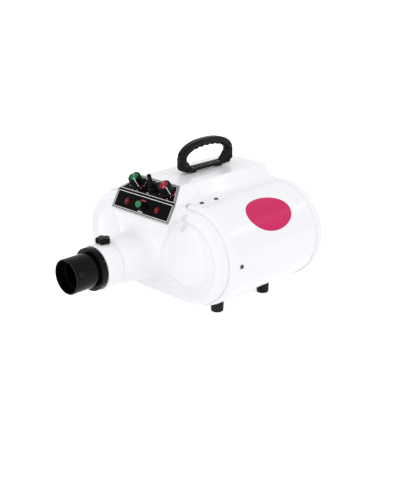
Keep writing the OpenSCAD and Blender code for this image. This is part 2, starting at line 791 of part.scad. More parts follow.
module handle_base() color("#1d1d1f") difference() {
    union() {
        translate([-bar_w / 2, hy - grip_span / 2 + 5, bar_z]) cube([bar_w, grip_span - 10, bar_t]);
        for (i = [-rib_n : rib_n]) translate([0, hy + i * rib_step, bar_z + bar_t - 0.5])
            rotate([90, 0, 90]) linear_extrude(bar_w - 4, center = true) rib_section();
        ear(0);
        ear(1);
        handle_screw_places() translate([0, 0, flat_z]) cylinder(r = 7, h = bar_gap + 1);
    }
    handle_screw_places() {
        translate([0, 0, flat_z - 1]) cylinder(d = handle_screw_d + 0.4, h = 20, $fn = 24);
        translate([0, 0, bar_z + 1.5]) cylinder(r = 5, h = 20);
    }
}

module handle_screws() color("#303030") handle_screw_places() union() {
    translate([0, 0, bar_z + 1.6]) cylinder(r = 4.6, h = 2.6);
    translate([0, 0, flat_z - 9]) cylinder(d = handle_screw_d, h = bar_gap + 11);
    translate([0, 0, flat_z - flange_t - 4.2]) cylinder(r = 4.6, h = 4, $fn = 6);
}

// ---- feet and screws ----

module foot(sx, rear) color("#1a1a1a") difference() {
    translate([sx * foot_x, y_seam + foot_front + rear * foot_span, 0]) rotate_extrude() polygon([
        [2.6, 4], [5.5, 4], [5.5, 0], [foot_d / 2 - 2, 0], [foot_d / 2 - 0.6, 0.6], [foot_d / 2, 2],
        [foot_d / 2 + 0.8, foot_h + 6], [2.6, foot_h + 6],
    ]);
    slab(y_seam, y_rear) obround(R + 0.1);
}

module foot_front_left() foot(-1, 0);
module foot_front_right() foot(1, 0);
module foot_rear_left() foot(-1, 1);
module foot_rear_right() foot(1, 1);

module foot_screws() color("silver") foot_places() union() {
    translate([0, 0, 1]) cylinder(r = 4.8, h = 2.9);
    translate([0, 0, 3.8]) cylinder(r = 2.5, h = foot_h + 6);
}

module cover_screws() color("#303030") {
    for (s = [-1, 1], p = [tower_screw, hump_screw]) translate([s * p[0], p[1], 0]) union() {
        translate([0, 0, fold_z + flange_t + 0.1]) cylinder(r = 3.8, h = 2.2);
        translate([0, 0, top_z - 10]) cylinder(d = screw_d - 0.1, h = 10 + flange_t + 1);
    }
    for (s = [-1, 1]) translate([s * (cx + R), side_screw_y, zc]) rotate([0, s * 90, 0]) union() {
        translate([0, 0, 0.1]) cylinder(r = 3.8, h = 2.2);
        translate([0, 0, -7]) cylinder(d = screw_d - 0.1, h = 8);
    }
}

// ---- motors ----

module motor_bulkhead() color("silver") difference() {
    slab(motor_y, motor_y + bulk_t) obround(R - sheet_t - seat);
    for (s = [-1, 1]) rod_y(s * cx, zc, frame_r + 1, motor_y - 1, motor_y + bulk_t + 1);
    translate([-20, motor_y - 1, zc + 50]) cube([40, bulk_t + 2, 20]);
}

module motor_gasket(s) color("#303030") difference() {
    rod_y(s * cx, zc, can_r, motor_y + bulk_t, motor_y + bulk_t + gasket_t);
    rod_y(s * cx, zc, frame_r + 1, motor_y, motor_y + bulk_t + gasket_t + 1);
}

module motor_gasket_left() motor_gasket(-1);
module motor_gasket_right() motor_gasket(1);

// A drawn can with a bearing seat and outlet ports in its front plate, and an inlet eye in its rear plate.
module fan_can(s) color("silver") difference() {
    y0 = can_y;
    y1 = can_y + can_l;
    turned(s * cx, zc) polygon([
        [bearing_r, y0], [can_r, y0], [can_r, y1 - 3], [can_r - 3, y1], [eye_r, y1], [eye_r, y1 - can_t],
        [can_r - 3, y1 - can_t], [can_r - can_t, y1 - 3], [can_r - can_t, y0 + can_t],
        [bearing_r + 3, y0 + can_t], [bearing_r + 3, y0 + bearing_l], [bearing_r, y0 + bearing_l],
    ]);
    for (a = [0 : 60 : 300]) translate([s * cx, 0, zc]) rotate([0, a, 0])
        rod_y((frame_r + bearing_r) / 2, 0, port_r, y0 - 1, y0 + can_t + 1);
}

module fan_can_left() fan_can(-1);
module fan_can_right() fan_can(1);

frame_y = can_y - frame_l;
stack_l = 36;                                // the laminated stack round the armature's core
stack_y = can_y - stack_l - 14;
core_r = 17.5;
air_gap = 1.5;
comm_r = 11;
comm_l = 12;
comm_y = frame_y + bearing_l + 3;

module motor_frame(s) color("#b8b8b8") difference() {
    turned(s * cx, zc) polygon([
        [bearing_r, frame_y], [frame_r - 4, frame_y], [frame_r, frame_y + 4], [frame_r, can_y - 0.1],
        [frame_r - frame_t, can_y - 0.1], [frame_r - frame_t, frame_y + 5], [bearing_r + 3, frame_y + 3],
        [bearing_r + 3, frame_y + bearing_l], [bearing_r, frame_y + bearing_l],
    ]);
    for (a = [45 : 90 : 315]) translate([s * cx, 0, zc]) rotate([0, a, 0])
        translate([26, frame_y - 1, -5]) cube([30, 20, 10]);
}

module motor_frame_left() motor_frame(-1);
module motor_frame_right() motor_frame(1);

module stator(s) color("#8a5a30") difference() {
    rod_y(s * cx, zc, frame_r - frame_t - 0.1, stack_y, stack_y + stack_l);
    rod_y(s * cx, zc, core_r + air_gap, stack_y - 1, stack_y + stack_l + 1);
}

module stator_left() stator(-1);
module stator_right() stator(1);

module motor_bearings(s) color("silver") for (y = [frame_y, can_y]) turned(s * cx, zc)
    translate([shaft_r + run, y]) square([bearing_r - shaft_r - 2 * run, bearing_l]);

module motor_bearings_left() motor_bearings(-1);
module motor_bearings_right() motor_bearings(1);

// Shaft, commutator, wound core and the shaft's run through the impeller.
module armature(s) color("#b87333") turned(s * cx, zc) polygon([
    [0, frame_y - 2], [shaft_r, frame_y - 2], [shaft_r, comm_y], [comm_r, comm_y], [comm_r, comm_y + comm_l],
    [shaft_r + 4, comm_y + comm_l + 1], [core_r - 3.5, stack_y], [core_r, stack_y + 2],
    [core_r, stack_y + stack_l - 2], [core_r - 3.5, stack_y + stack_l + 1],
    [shaft_r, stack_y + stack_l + 4], [shaft_r, can_y + can_l - 6], [0, can_y + can_l - 6],
]);

module armature_left() armature(-1);
module armature_right() armature(1);

impeller_r = can_r - 8;
impeller_y = can_y + bearing_l + 3;
impeller_w = can_l - bearing_l - 9;
plate_t = 1.5;

// A backward-curved blade: a thin arc from the eye to the rim.
module blade_outline() {
    n = 6;
    turn = 55;
    function at(u, w) = let (r = 20 + (impeller_r - 21) * u, a = turn * u) [
        r * cos(a) - w * sin(a + 40), r * sin(a) + w * cos(a + 40)
    ];
    polygon(concat([for (i = [0 : n]) at(i / n, 0.8)], [for (i = [n : -1 : 0]) at(i / n, -0.8)]));
}

module impeller(s) color("#c8c8c8") {
    turned(s * cx, zc) polygon([
        [shaft_r, impeller_y], [impeller_r, impeller_y], [impeller_r, impeller_y + plate_t],
        [10, impeller_y + plate_t], [8, impeller_y + impeller_w - 6], [shaft_r, impeller_y + impeller_w - 6],
    ]);
    for (i = [0 : 8]) translate([s * cx, impeller_y + 1, zc]) rotate([-90, 0, 0]) rotate(40 * i)
        linear_extrude(impeller_w - 2) blade_outline();
    turned(s * cx, zc) translate([eye_r - 2, impeller_y + impeller_w - plate_t])
        square([impeller_r - eye_r + 2, plate_t]);
}

module impeller_left() impeller(-1);
module impeller_right() impeller(1);

// ---- heater and board ----

heat_y = y_duct + 8;
heat_l = 62;
coil_r = 27.2;
wire_r = 0.9;
coil_turns = 9;
mica_t = 1.2;

module heater_frame() color("#d8c9a0") {
    turned(0, z_out) polygon([
        [duct_r - cover_t - 4, y_duct + 0.2], [duct_r - cover_t - 1.3, y_duct + 0.2],
        [duct_r - cover_t - 1.3, heat_y], [duct_r - cover_t - 4, heat_y],
    ]);
    half = coil_r - wire_r - 0.2;
    foot = duct_r - cover_t - 3;
    for (a = [0, 90]) translate([0, 0, z_out]) rotate([0, a, 0]) {
        translate([-half, heat_y - 2, -mica_t / 2]) cube([2 * half, heat_l, mica_t]);
        translate([-foot, heat_y - 6, -mica_t / 2]) cube([2 * foot, 4.1, mica_t]);
    }
}

// One unbroken heater wire wound round the frame.
module heater_coil() {
    per = 16;
    n = coil_turns * per;
    pitch = (heat_l - 14) / coil_turns;
    function centre(i) = let (a = 360 * i / per) [
        coil_r * cos(a), heat_y + 6 + pitch * i / per, z_out + coil_r * sin(a)
    ];
    function ring(i, k) = let (a = 360 * i / per, b = 60 * k) centre(i) + wire_r * [
        cos(b) * cos(a), sin(b), cos(b) * sin(a)
    ];
    color("#a0a0a0") polyhedron(
        points = [for (i = [0 : n], k = [0 : 5]) ring(i, k)],
        faces = concat(
            [[for (k = [5 : -1 : 0]) k]],
            [for (i = [0 : n - 1], k = [0 : 5])
                [6 * i + k, 6 * i + (k + 1) % 6, 6 * i + 6 + (k + 1) % 6]],
            [for (i = [0 : n - 1], k = [0 : 5])
                [6 * i + k, 6 * i + 6 + (k + 1) % 6, 6 * i + 6 + k]],
            [[for (k = [0 : 5]) 6 * n + k]]
        )
    );
}

module thermal_cutout() color("silver") union() {
    rod_y(0, z_out, 8, heat_y - 2 + heat_l + 0.1, heat_y + heat_l + 2);
    rod_y(0, z_out, 5, heat_y + heat_l + 1.9, heat_y + heat_l + 6);
}

board_w = 80;
board_d = 60;
board_t = 1.6;
post_h = 6;
board_y = hy - board_d / 2 + 42;             // under the rear leg of the handle
board_z = top_z + 0.1 + post_h;

// The board on its four posts, with the triac's heat sink and the terminal block.
module control_board() color("#1f6b3a") {
    for (s = [-1, 1], y = [6, board_d - 6]) translate([s * (board_w / 2 - 6), board_y + y, top_z + 0.1])
        cylinder(r = 3, h = post_h + 0.1);
    translate([-board_w / 2, board_y, board_z]) cube([board_w, board_d, board_t]);
    translate([-board_w * 0.3, board_y + board_d * 0.2, board_z + board_t - 0.1])
        cube([board_w * 0.6, 22, 10]);
    translate([-board_w / 4, board_y + board_d * 0.7, board_z + board_t - 0.1]) cube([board_w / 2, 9, 9]);
}

body_sleeve();
top_cover();
front_cover();
rear_cover();
outlet_neck();
intake_filter();
filter_retainer();
control_panel();
handle_base();
handle_grip();
handle_screws();
foot_front_left();
foot_front_right();
foot_rear_left();
foot_rear_right();
foot_screws();
cover_screws();
motor_bulkhead();
motor_gasket_left();
motor_gasket_right();
fan_can_left();
fan_can_right();
motor_frame_left();
motor_frame_right();
stator_left();
stator_right();
motor_bearings_left();
motor_bearings_right();
armature_left();
armature_right();
impeller_left();
impeller_right();
heater_frame();
heater_coil();
thermal_cutout();
control_board();
air_dimmer();
heat_dimmer();
power_switch();
button_switch();
lamp_left();
lamp_right();
air_knob();
air_knob_cap();
air_shaft();
heat_knob();
heat_knob_cap();
heat_shaft();
power_toggle();
toggle_nut();
push_button();
outlet_adapter();
adapter_flange();
clamp_knob();
cord_gland();
gland_nut();
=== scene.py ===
"""Looks of a two-motor pet dryer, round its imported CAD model. Lengths are in mm up to the meshes."""

import json
from math import asin, atan2, copysign, cos, degrees, exp, pi, radians, sin, sqrt, tan

import bmesh
import bpy
import numpy as np
import openvdb
from mathutils import Matrix, Vector


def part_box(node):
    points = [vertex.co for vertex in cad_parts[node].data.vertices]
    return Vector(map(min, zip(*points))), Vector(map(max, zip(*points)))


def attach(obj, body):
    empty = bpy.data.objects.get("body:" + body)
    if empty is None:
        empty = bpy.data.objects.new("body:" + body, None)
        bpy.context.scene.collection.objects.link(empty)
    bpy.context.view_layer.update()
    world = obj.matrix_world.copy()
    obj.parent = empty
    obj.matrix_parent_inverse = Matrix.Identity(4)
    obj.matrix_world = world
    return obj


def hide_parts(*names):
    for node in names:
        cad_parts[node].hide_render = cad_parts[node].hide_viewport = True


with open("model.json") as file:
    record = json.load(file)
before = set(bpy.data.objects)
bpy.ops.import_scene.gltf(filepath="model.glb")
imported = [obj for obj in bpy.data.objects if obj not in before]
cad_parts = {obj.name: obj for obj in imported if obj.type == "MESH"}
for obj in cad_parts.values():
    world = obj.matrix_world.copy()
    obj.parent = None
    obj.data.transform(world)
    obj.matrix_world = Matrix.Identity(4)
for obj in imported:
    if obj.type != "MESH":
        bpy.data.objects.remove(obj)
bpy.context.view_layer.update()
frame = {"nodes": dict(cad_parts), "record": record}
MM = 0.001
SIDES = (-1, "left"), (1, "right")
NODES = frame["nodes"]


def box_mm(node):
    """Lowest and highest corner of a CAD node, in millimetres."""
    low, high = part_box(node)
    return np.array(low) / MM, np.array(high) / MM


def add_object(name, data):
    made = bpy.data.objects.new(name, data)
    bpy.context.collection.objects.link(made)
    return made


# ---- camera ----

CAMERA_AT = (1.1095, -1.0367, 0.6584)
AZIMUTH = radians(44.67)
PITCH = radians(19.77)
FOCAL_PX = 911.75
FRAME_PX = 480
SENSOR_MM = 36.0


def make_camera():
    data = bpy.data.cameras.new("camera")
    data.sensor_width = SENSOR_MM
    data.lens = FOCAL_PX * SENSOR_MM / FRAME_PX
    data.clip_end = 60
    camera = add_object("camera", data)
    level = cos(PITCH)
    back = Vector((sin(AZIMUTH) * level, -cos(AZIMUTH) * level, sin(PITCH)))
    camera.rotation_euler = back.to_track_quat("Z", "Y").to_euler()
    camera.location = CAMERA_AT
    bpy.context.scene.camera = camera


make_camera()

# ---- sizes read from the frame ----

sleeve_low, sleeve_high = box_mm("body_sleeve")
R = (sleeve_high[2] - sleeve_low[2]) / 2
CX = sleeve_high[0] - R
ZC = (sleeve_high[2] + sleeve_low[2]) / 2
TOP_Z = sleeve_high[2]
Y_SEAM = sleeve_low[1]
Y_REAR = sleeve_high[1]
Y_BACK = box_mm("rear_cover")[1][1]
neck_low, neck_high = box_mm("outlet_neck")
NECK_R = (neck_high[2] - neck_low[2]) / 2
Z_OUT = (neck_high[2] + neck_low[2]) / 2
Y_NECK = neck_low[1]
Y_DUCT = neck_high[1]
Y_FRONT = box_mm("outlet_adapter")[0][1]
FLAT_Z = box_mm("top_cover")[1][2]
HUMP_Y = box_mm("top_cover")[0][1]
PANEL_W = 2 * box_mm("control_panel")[1][0]

# ---- materials ----

SLOT_OF = {}


def set_values(node, values):
    for socket, value in values.items():
        node.inputs[socket].default_value = value


def new_node(tree, kind, values=None, **settings):
    """A shader node with its settings and the values of its sockets."""
    node = tree.nodes.new("ShaderNode" + kind)
    for key, value in settings.items():
        setattr(node, key, value)
    set_values(node, values or {})
    return node


def link(tree, a, out, b, into):
    tree.links.new(a.outputs[out], b.inputs[into])


def node_tree(name, slot=None):
    """A new material, its nodes and its shader, with the record's slot noted for it."""
    material = bpy.data.materials.new(name)
    material.use_nodes = True
    SLOT_OF[material.name] = slot
    tree = material.node_tree
    return material, tree, tree.nodes["Principled BSDF"]


def noise(tree, scale, detail):
    texture = new_node(tree, "TexNoise", {"Scale": scale, "Detail": detail})
    link(tree, new_node(tree, "TexCoord"), "Object", texture, "Vector")
    return texture


def spread(tree, texture, low, high):
    """Maps a texture's middle values to the range from low to high."""
    values = {"From Min": 0.3, "From Max": 0.7, "To Min": low, "To Max": high}
    scale = new_node(tree, "MapRange", values, interpolation_type="SMOOTHSTEP")
    link(tree, texture, "Fac", scale, "Value")
    return scale


def tint(tree, shader, source, out, dark, light):
    """Blends the base colour between two colours by a texture."""
    mix = new_node(tree, "Mix", {"A": (*dark, 1), "B": (*light, 1)}, data_type="RGBA")
    link(tree, source, out, mix, "Factor")
    link(tree, mix, "Result", shader, "Base Color")


def add_bump(tree, shader, texture, relief, depth):
    bump = new_node(tree, "Bump", {"Strength": relief, "Distance": depth})
    link(tree, texture, "Fac", bump, "Height")
    link(tree, bump, "Normal", shader, "Normal")


def finish_of(name, slot, dark, light, rough, grain, depth, metal=0.0, coat=0.0, patch=40, specular=0.5,
              relief=0.6):
    """A moulded or painted finish: fine grain in the bump, and slow drifts of colour and roughness."""
    material, tree, shader = node_tree(name, slot)
    slow = noise(tree, patch, 2)
    add_bump(tree, shader, noise(tree, grain, 4), relief, depth)
    link(tree, spread(tree, slow, *rough), "Result", shader, "Roughness")
    tint(tree, shader, spread(tree, slow, 0, 1), "Result", dark, light)
    set_values(shader, {
        "Metallic": metal, "Coat Weight": coat, "Coat Roughness": 0.05, "Specular IOR Level": specular,
    })
    return material


# (share of a turn, brightness of the painted highlight)
SPUN_HIGHLIGHT_WEDGES = [
    (0.0, 0.12), (0.16, 0.0), (0.25, 1.0), (0.34, 0.0), (0.5, 0.12), (0.66, 0.0), (0.75, 1.0), (0.84, 0.0),
]


def spun(name, slot, dark, light):
    """Lathe-turned coloured metal: fine rings in the bump, and a painted highlight of bright wedges about the
    piece's own Z axis.
    """
    material, tree, shader = node_tree(name, slot)
    place = new_node(tree, "TexCoord")
    waves = {"Scale": 900, "Distortion": 0.4}
    rings = new_node(tree, "TexWave", waves, wave_type="RINGS", rings_direction="Z")
    link(tree, place, "Object", rings, "Vector")
    add_bump(tree, shader, rings, 0.5, 2e-5)
    # painted highlight: the base colour goes from the dark to the light colour in two opposite wedges round
    # the axis, in place of the turned metal's reflection
    turn = new_node(tree, "TexGradient", gradient_type="RADIAL")
    link(tree, place, "Object", turn, "Vector")
    wedge = new_node(tree, "ValToRGB")
    ramp = wedge.color_ramp
    ramp.interpolation = "EASE"
    while len(ramp.elements) < len(SPUN_HIGHLIGHT_WEDGES):
        ramp.elements.new(0.5)
    for element, (at, value) in zip(ramp.elements, SPUN_HIGHLIGHT_WEDGES):
        element.position = at
        element.color = (value, value, value, 1)
    link(tree, turn, "Fac", wedge, "Fac")
    tint(tree, shader, wedge, "Color", dark, light)
    set_values(shader, {"Metallic": 0.5, "Roughness": 0.34, "Specular IOR Level": 0.2})
    return material


def grey(value):
    return (value, value, value)


WHITES = (0.906, 0.913, 0.941), (0.910, 0.917, 0.945)
SMOOTH_WHITE = {"patch": 9, "relief": 0.2}
WHITE_SHELL = finish_of(
    "white_shell", "white_shell", *WHITES, (0.28, 0.32), 700, 1e-5, coat=0.12, **SMOOTH_WHITE,
)
WHITE_PAINT = finish_of(
    "white_paint", "white_paint", *WHITES, (0.24, 0.28), 450, 1e-5, coat=0.2, **SMOOTH_WHITE,
)
BLACK_GLOSS = finish_of(
    "black_gloss", "black_gloss", grey(0.001), grey(0.003),
    (0.1, 0.18), 800, 1e-5, specular=0.1, relief=0.3,
)
BLACK_GRIP = finish_of(
    "black_grip", "black_matte", (0.003, 0.003, 0.004), (0.007, 0.007, 0.009),
    (0.24, 0.34), 1600, 4e-5, specular=0.1,
)
BLACK_SATIN = finish_of(
    "black_satin", "black_gloss", grey(0.002), (0.004, 0.004, 0.005),
    (0.2, 0.32), 1300, 2e-5, specular=0.08,
)
PANEL_INK = finish_of(
    "panel_ink", "panel_black", grey(0.002), (0.004, 0.003, 0.003), (0.2, 0.3), 1500, 1e-5, specular=0.04,
)
RUBBER = finish_of(
    "rubber", "black_rubber", grey(0.008), (0.016, 0.016, 0.017), (0.6, 0.78), 1100, 6e-5, specular=0.2,
)
DARK_STEEL = finish_of(
    "dark_steel", "dark_screw", (0.05, 0.05, 0.055), grey(0.10), (0.3, 0.45), 1500, 2e-5, metal=0.8,
)
# the knob caps' dark and light colours are the shade and the painted highlight of one turned metal
GREEN_SPUN = spun("green_spun", "spun_green", (0.004, 0.10, 0.035), (0.10, 0.62, 0.28))
RED_SPUN = spun("red_spun", "spun_red", (0.20, 0.006, 0.012), (0.85, 0.10, 0.14))
GREEN_CAP = finish_of(
    "green_cap", "green_plastic", (0.025, 0.19, 0.075), (0.040, 0.25, 0.105),
    (0.2, 0.3), 900, 1e-5, specular=0.15,
)
RED_LENS = finish_of(
    "red_lens", "red_lens", (0.11, 0.003, 0.004), (0.15, 0.005, 0.006), (0.2, 0.3), 900, 1e-5, specular=0.1,
)
RED_RIM = finish_of(
    "red_rim", "red_lens", (0.06, 0.002, 0.002), (0.08, 0.003, 0.003),
    (0.25, 0.35), 900, 1e-5, specular=0.08,
)
# painted highlight: a brighter red for the small dome in the middle of each lamp lens, in place of the lens's
# central highlight
RED_PAINTED_HIGHLIGHT = finish_of(
    "red_painted_highlight", "red_lens", (0.36, 0.035, 0.04), (0.46, 0.055, 0.06), (0.2, 0.3), 900, 1e-5, specular=0.2,
)
INK_WHITE = finish_of("ink_white", "panel_black", grey(0.72), grey(0.82), (0.3, 0.4), 2000, 1e-5)
INK_RED = finish_of(
    "ink_red", "panel_black", (0.55, 0.02, 0.06), (0.68, 0.04, 0.09), (0.3, 0.4), 2000, 1e-5,
)
INK_TEAL = finish_of(
    "ink_teal", "panel_black", (0.04, 0.30, 0.28), (0.08, 0.42, 0.38), (0.3, 0.4), 2000, 1e-5,
)
LABEL = finish_of(
    "label_magenta", "white_paint", (0.60, 0.016, 0.115), (0.63, 0.019, 0.125),
    (0.24, 0.3), 600, 1e-5, patch=20, specular=0.15, relief=0.2,
)

# what only the nodes that stay are made of
for finish in (
    ("steel", "steel", (0.50, 0.50, 0.51), grey(0.62), (0.25, 0.4), 1500, 2e-5, 1.0),
    ("aluminium", "aluminium", (0.62, 0.62, 0.64), (0.74, 0.74, 0.75), (0.28, 0.42), 1200, 3e-5, 1.0),
    ("copper", "copper", (0.45, 0.2, 0.09), (0.6, 0.3, 0.14), (0.25, 0.4), 2500, 8e-5, 1.0),
    ("mica", "mica", (0.55, 0.47, 0.32), (0.72, 0.64, 0.46), (0.4, 0.6), 300, 4e-5),
    ("board", "board", (0.03, 0.16, 0.07), (0.05, 0.24, 0.11), (0.3, 0.5), 700, 2e-5),
    ("foam", "filter_foam", grey(0.015), grey(0.05), (0.8, 0.95), 1400, 8e-4),
):
    finish_of(*finish)

# ---- mesh tools ----


def rounded(points, steps=6):
    """A closed outline whose corners (x, y, radius) are replaced by arcs."""
    out = []
    count = len(points)
    for i, (x, y, radius) in enumerate(points):
        here = Vector((x, y))
        if radius <= 0:
            out.append((x, y))
            continue
        to_last = Vector(points[i - 1][:2]) - here
        to_next = Vector(points[(i + 1) % count][:2]) - here
        half = to_last.angle(to_next) / 2
        reach = min(radius / tan(half), to_last.length * 0.49, to_next.length * 0.49)
        middle = here + (to_last.normalized() + to_next.normalized()).normalized() * reach / cos(half)
        start = here + to_last.normalized() * reach - middle
        end = here + to_next.normalized() * reach - middle
        turn = atan2(start.x * end.y - start.y * end.x, start.dot(end))
        for k in range(steps + 1):
            angle = turn * k / steps
            out.append((
                middle.x + start.x * cos(angle) - start.y * sin(angle),
                middle.y + start.x * sin(angle) + start.y * cos(angle),
            ))
    return out


def mesh_of(points, faces, name="solid"):
    mesh = bpy.data.meshes.new(name)
    cells = [tuple(int(i) for i in face) for face in faces]
    mesh.from_pydata([tuple(MM * c for c in p) for p in points], [], cells)
    work = bmesh.new()
    work.from_mesh(mesh)
    bmesh.ops.remove_doubles(work, verts=work.verts, dist=1e-6)
    bmesh.ops.dissolve_degenerate(work, edges=work.edges, dist=1e-7)
    bmesh.ops.recalc_face_normals(work, faces=work.faces)
    work.to_mesh(mesh)
    work.free()
    return mesh


def shift(x, y, z):
    return Matrix.Translation((x, y, z))


def rotation(angle, axis):
    """A turn by an angle in degrees."""
    return Matrix.Rotation(radians(angle), 4, axis)


def metres(matrix):
    """A frame in millimetres as an object's own place."""
    place = matrix.copy()
    place.translation *= MM
    return place


def build(name, solid, material, sharp, body="case", slot=None, place=None, replaces=(), cuts=(), adds=()):
    """A piece from a solid in millimetres, with others cut from it or added, riding on a body."""
    mesh = mesh_of(*solid, name)
    piece = add_object(name, mesh)
    slot = slot or SLOT_OF[material.name]
    tools = []
    for operation, others in (("UNION", adds), ("DIFFERENCE", cuts)):
        for other in others:
            tools.append(add_object("tool", mesh_of(*other)))
            step = piece.modifiers.new("step", "BOOLEAN")
            step.object, step.operation, step.solver = tools[-1], operation, "MANIFOLD"
    if tools:
        mesh = evaluated_mesh(piece)
        piece.modifiers.clear()
        piece.data = mesh
        for tool in tools:
            bpy.data.objects.remove(tool)
    mesh.materials.clear()
    mesh.materials.append(material)
    mesh.shade_smooth()
    mesh.set_sharp_from_angle(angle=radians(sharp))
    if place is not None:
        piece.matrix_world = metres(place)
    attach(piece, body)
    if replaces:
        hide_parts(*replaces)
    return piece


def evaluated_mesh(piece):
    return bpy.data.meshes.new_from_object(piece.evaluated_get(bpy.context.evaluated_depsgraph_get()))


def grid_faces(rows, columns, loop_rows=False, loop_columns=True):
    """Quads over rows of points, each row holding the same number of columns."""
    faces = []
    for i in range(rows if loop_rows else rows - 1):
        for j in range(columns if loop_columns else columns - 1):
            a, b = i * columns + j, i * columns + (j + 1) % columns
            c, d = (i + 1) % rows * columns + (j + 1) % columns, (i + 1) % rows * columns + j
            faces.append((a, b, c, d))
    return faces


def loft(sections):
    """A closed skin over sections of equally many points, with both ends capped."""
    n = len(sections[0])
    points = [p for section in sections for p in section]
    last = n * (len(sections) - 1)
    return points, grid_faces(len(sections), n) + [tuple(range(n - 1, -1, -1)), tuple(range(last, last + n))]


def prism(outline, low, high, matrix=None):
    """A flat outline given thickness along Z."""
    points, faces = loft([[(x, y, low) for x, y in outline], [(x, y, high) for x, y in outline]])
    return (moved(points, matrix) if matrix is not None else points), faces


def moved(points, matrix):
    return [tuple(matrix @ Vector(p)) for p in points]


def across(outline, low, high):
    """An outline in Y and Z given thickness along X."""
    return loft([[(low, y, z) for y, z in outline], [(high, y, z) for y, z in outline]])


def lathe(profile, steps=96, bumps=None):
    """Turns an outline of (radius, height) about Z. bumps(radius, height, angle) may change a radius."""
    points = []
    for r, h in profile:
        for k in range(steps):
            angle = 2 * pi * k / steps
            at = bumps(r, h, angle) if bumps else r
            points.append((at * cos(angle), at * sin(angle), h))
    return points, grid_faces(len(profile), steps, loop_rows=True)


def about_outlet(outline):
    """Turns an outline of (radius, y) about the outlet's axis."""
    points, faces = lathe(outline, 144)
    return [(x, h, Z_OUT - y) for x, y, h in points], faces


def obround_ring(steps=48, straight=8):
    """Points and outward directions round the case's section."""
    ring = []
    for side, start in ((1, -0.5), (-1, 0.5)):
        for k in range(steps + 1):
            angle = pi * (k / steps + start)
            ring.append((side * CX, cos(angle), sin(angle)))
        for k in range(1, straight):
            ring.append((side * CX * (1 - 2 * k / straight), 0, side))
    return ring


def obround_sweep(profile):
    """Carries a closed outline of (radius, y) round the case's section."""
    ring = obround_ring()
    points = [(x + nx * r, y, ZC + nz * r) for x, nx, nz in ring for r, y in profile]
    return points, grid_faces(len(ring), len(profile), loop_rows=True)


def obround_solid(stations):
    """A closed solid over (radius, y) stations of the case's section."""
    ring = obround_ring()
    return loft([[(x + nx * r, y, ZC + nz * r) for x, nx, nz in ring] for r, y in stations])


def rectangle(x0, y0, x1, y1):
    return [(x0, y0), (x1, y0), (x1, y1), (x0, y1)]


def block(low, high):
    return prism(rectangle(*low[:2], *high[:2]), low[2], high[2])


def clamp01(value):
    return max(0.0, min(1.0, value))


def circle(radius, steps=48, x=0.0, y=0.0):
    return [(x + radius * cos(2 * pi * k / steps), y + radius * sin(2 * pi * k / steps))
            for k in range(steps)]


def peg(radius, low, high, matrix=None, steps=32):
    return prism(circle(radius, steps), low, high, matrix)


def arc(middle, radius, start, end, steps=6):
    """Points along an arc in degrees."""
    turns = [radians(start + (end - start) * k / steps) for k in range(steps + 1)]
    return [(middle[0] + radius * cos(turn), middle[1] + radius * sin(turn)) for turn in turns]


def soften(piece, width, segments=3, angle=30):
    """Rounds a piece's hard edges."""
    bevel = piece.modifiers.new("edges", "BEVEL")
    bevel.width = width * MM
    bevel.segments = segments
    bevel.limit_method = "ANGLE"
    bevel.angle_limit = radians(angle)
    return piece


# ---- front cover: one smooth skin round rim, domes, duct and tower ----

UPPER_TILT = radians(34)
LOWER_TILT = radians(60)
CREASE = (-44.5, 203.0)
LOWER_L = 34.0
UPPER_L = (FLAT_Z - CREASE[1]) / sin(UPPER_TILT)
SILL = (CREASE[0] - LOWER_L * cos(LOWER_TILT), CREASE[1] - LOWER_L * sin(LOWER_TILT))
BROW_Y = CREASE[0] + UPPER_L * cos(UPPER_TILT)
TOP_W = 100.0
FOLD_W = 139.0
COVER_T = 3.0
SKIRT_R = R - 6.4
TONGUE = 30.0
VOXEL = 1.5
# how far the skirt and the duct go on past their ends, before they are cut
BEYOND = 14.0
PAST = 3.0
DOME_UP = 4.0
PIT_AT = (82.0, Y_SEAM - 18, ZC + 64)
PIT_SIZE = (6.0, 11.0, 16.0)
STRIP_Z = TOP_Z + 0.2
STRIP_T = 1.5
FILLET = 9.0
# the rows of knobs and lamps up their facets, and the bores behind them
ROW_V, LAMP_V, KNOB_X = 20.0, LOWER_L / 2, 37.5
SIDE_BORE, TOGGLE_BORE, TOGGLE_FREE, BUTTON_BORE = 4.8, 6.2, 6.5, 6.3


def bore(radius, upper, u=0.0):
    """A hole through a facet, in its row."""
    return peg(radius, -10, 10, facet(upper, u, ROW_V if upper else LAMP_V))


def facet(upper, u=0.0, v=0.0, h=0.0):
    """A frame on the upper or lower panel facet, in millimetres: X across, Y up the slope, Z out of it."""
    origin, tilt = (CREASE, UPPER_TILT) if upper else (SILL, LOWER_TILT)
    turn = Matrix.Rotation(tilt, 4, "X")
    at = Vector((0, *origin)) + turn @ Vector((u, v, h))
    return Matrix.Translation(at) @ turn



def outline_distance(outline, u, v):
    """Signed distance to a closed outline, negative inside."""
    nearest = np.full(u.shape, 1e12)
    inside = np.zeros(u.shape, bool)
    for i, (ax, ay) in enumerate(outline):
        bx, by = outline[(i + 1) % len(outline)]
        ex, ey = bx - ax, by - ay
        t = np.clip(((u - ax) * ex + (v - ay) * ey) / max(ex * ex + ey * ey, 1e-9), 0, 1)
        nearest = np.minimum(nearest, (u - ax - t * ex) ** 2 + (v - ay - t * ey) ** 2)
        if ay != by:
            inside ^= ((ay > v) != (by > v)) & (u < ax + (v - ay) / (by - ay) * ex)
    return np.where(inside, -1.0, 1.0) * np.sqrt(nearest)


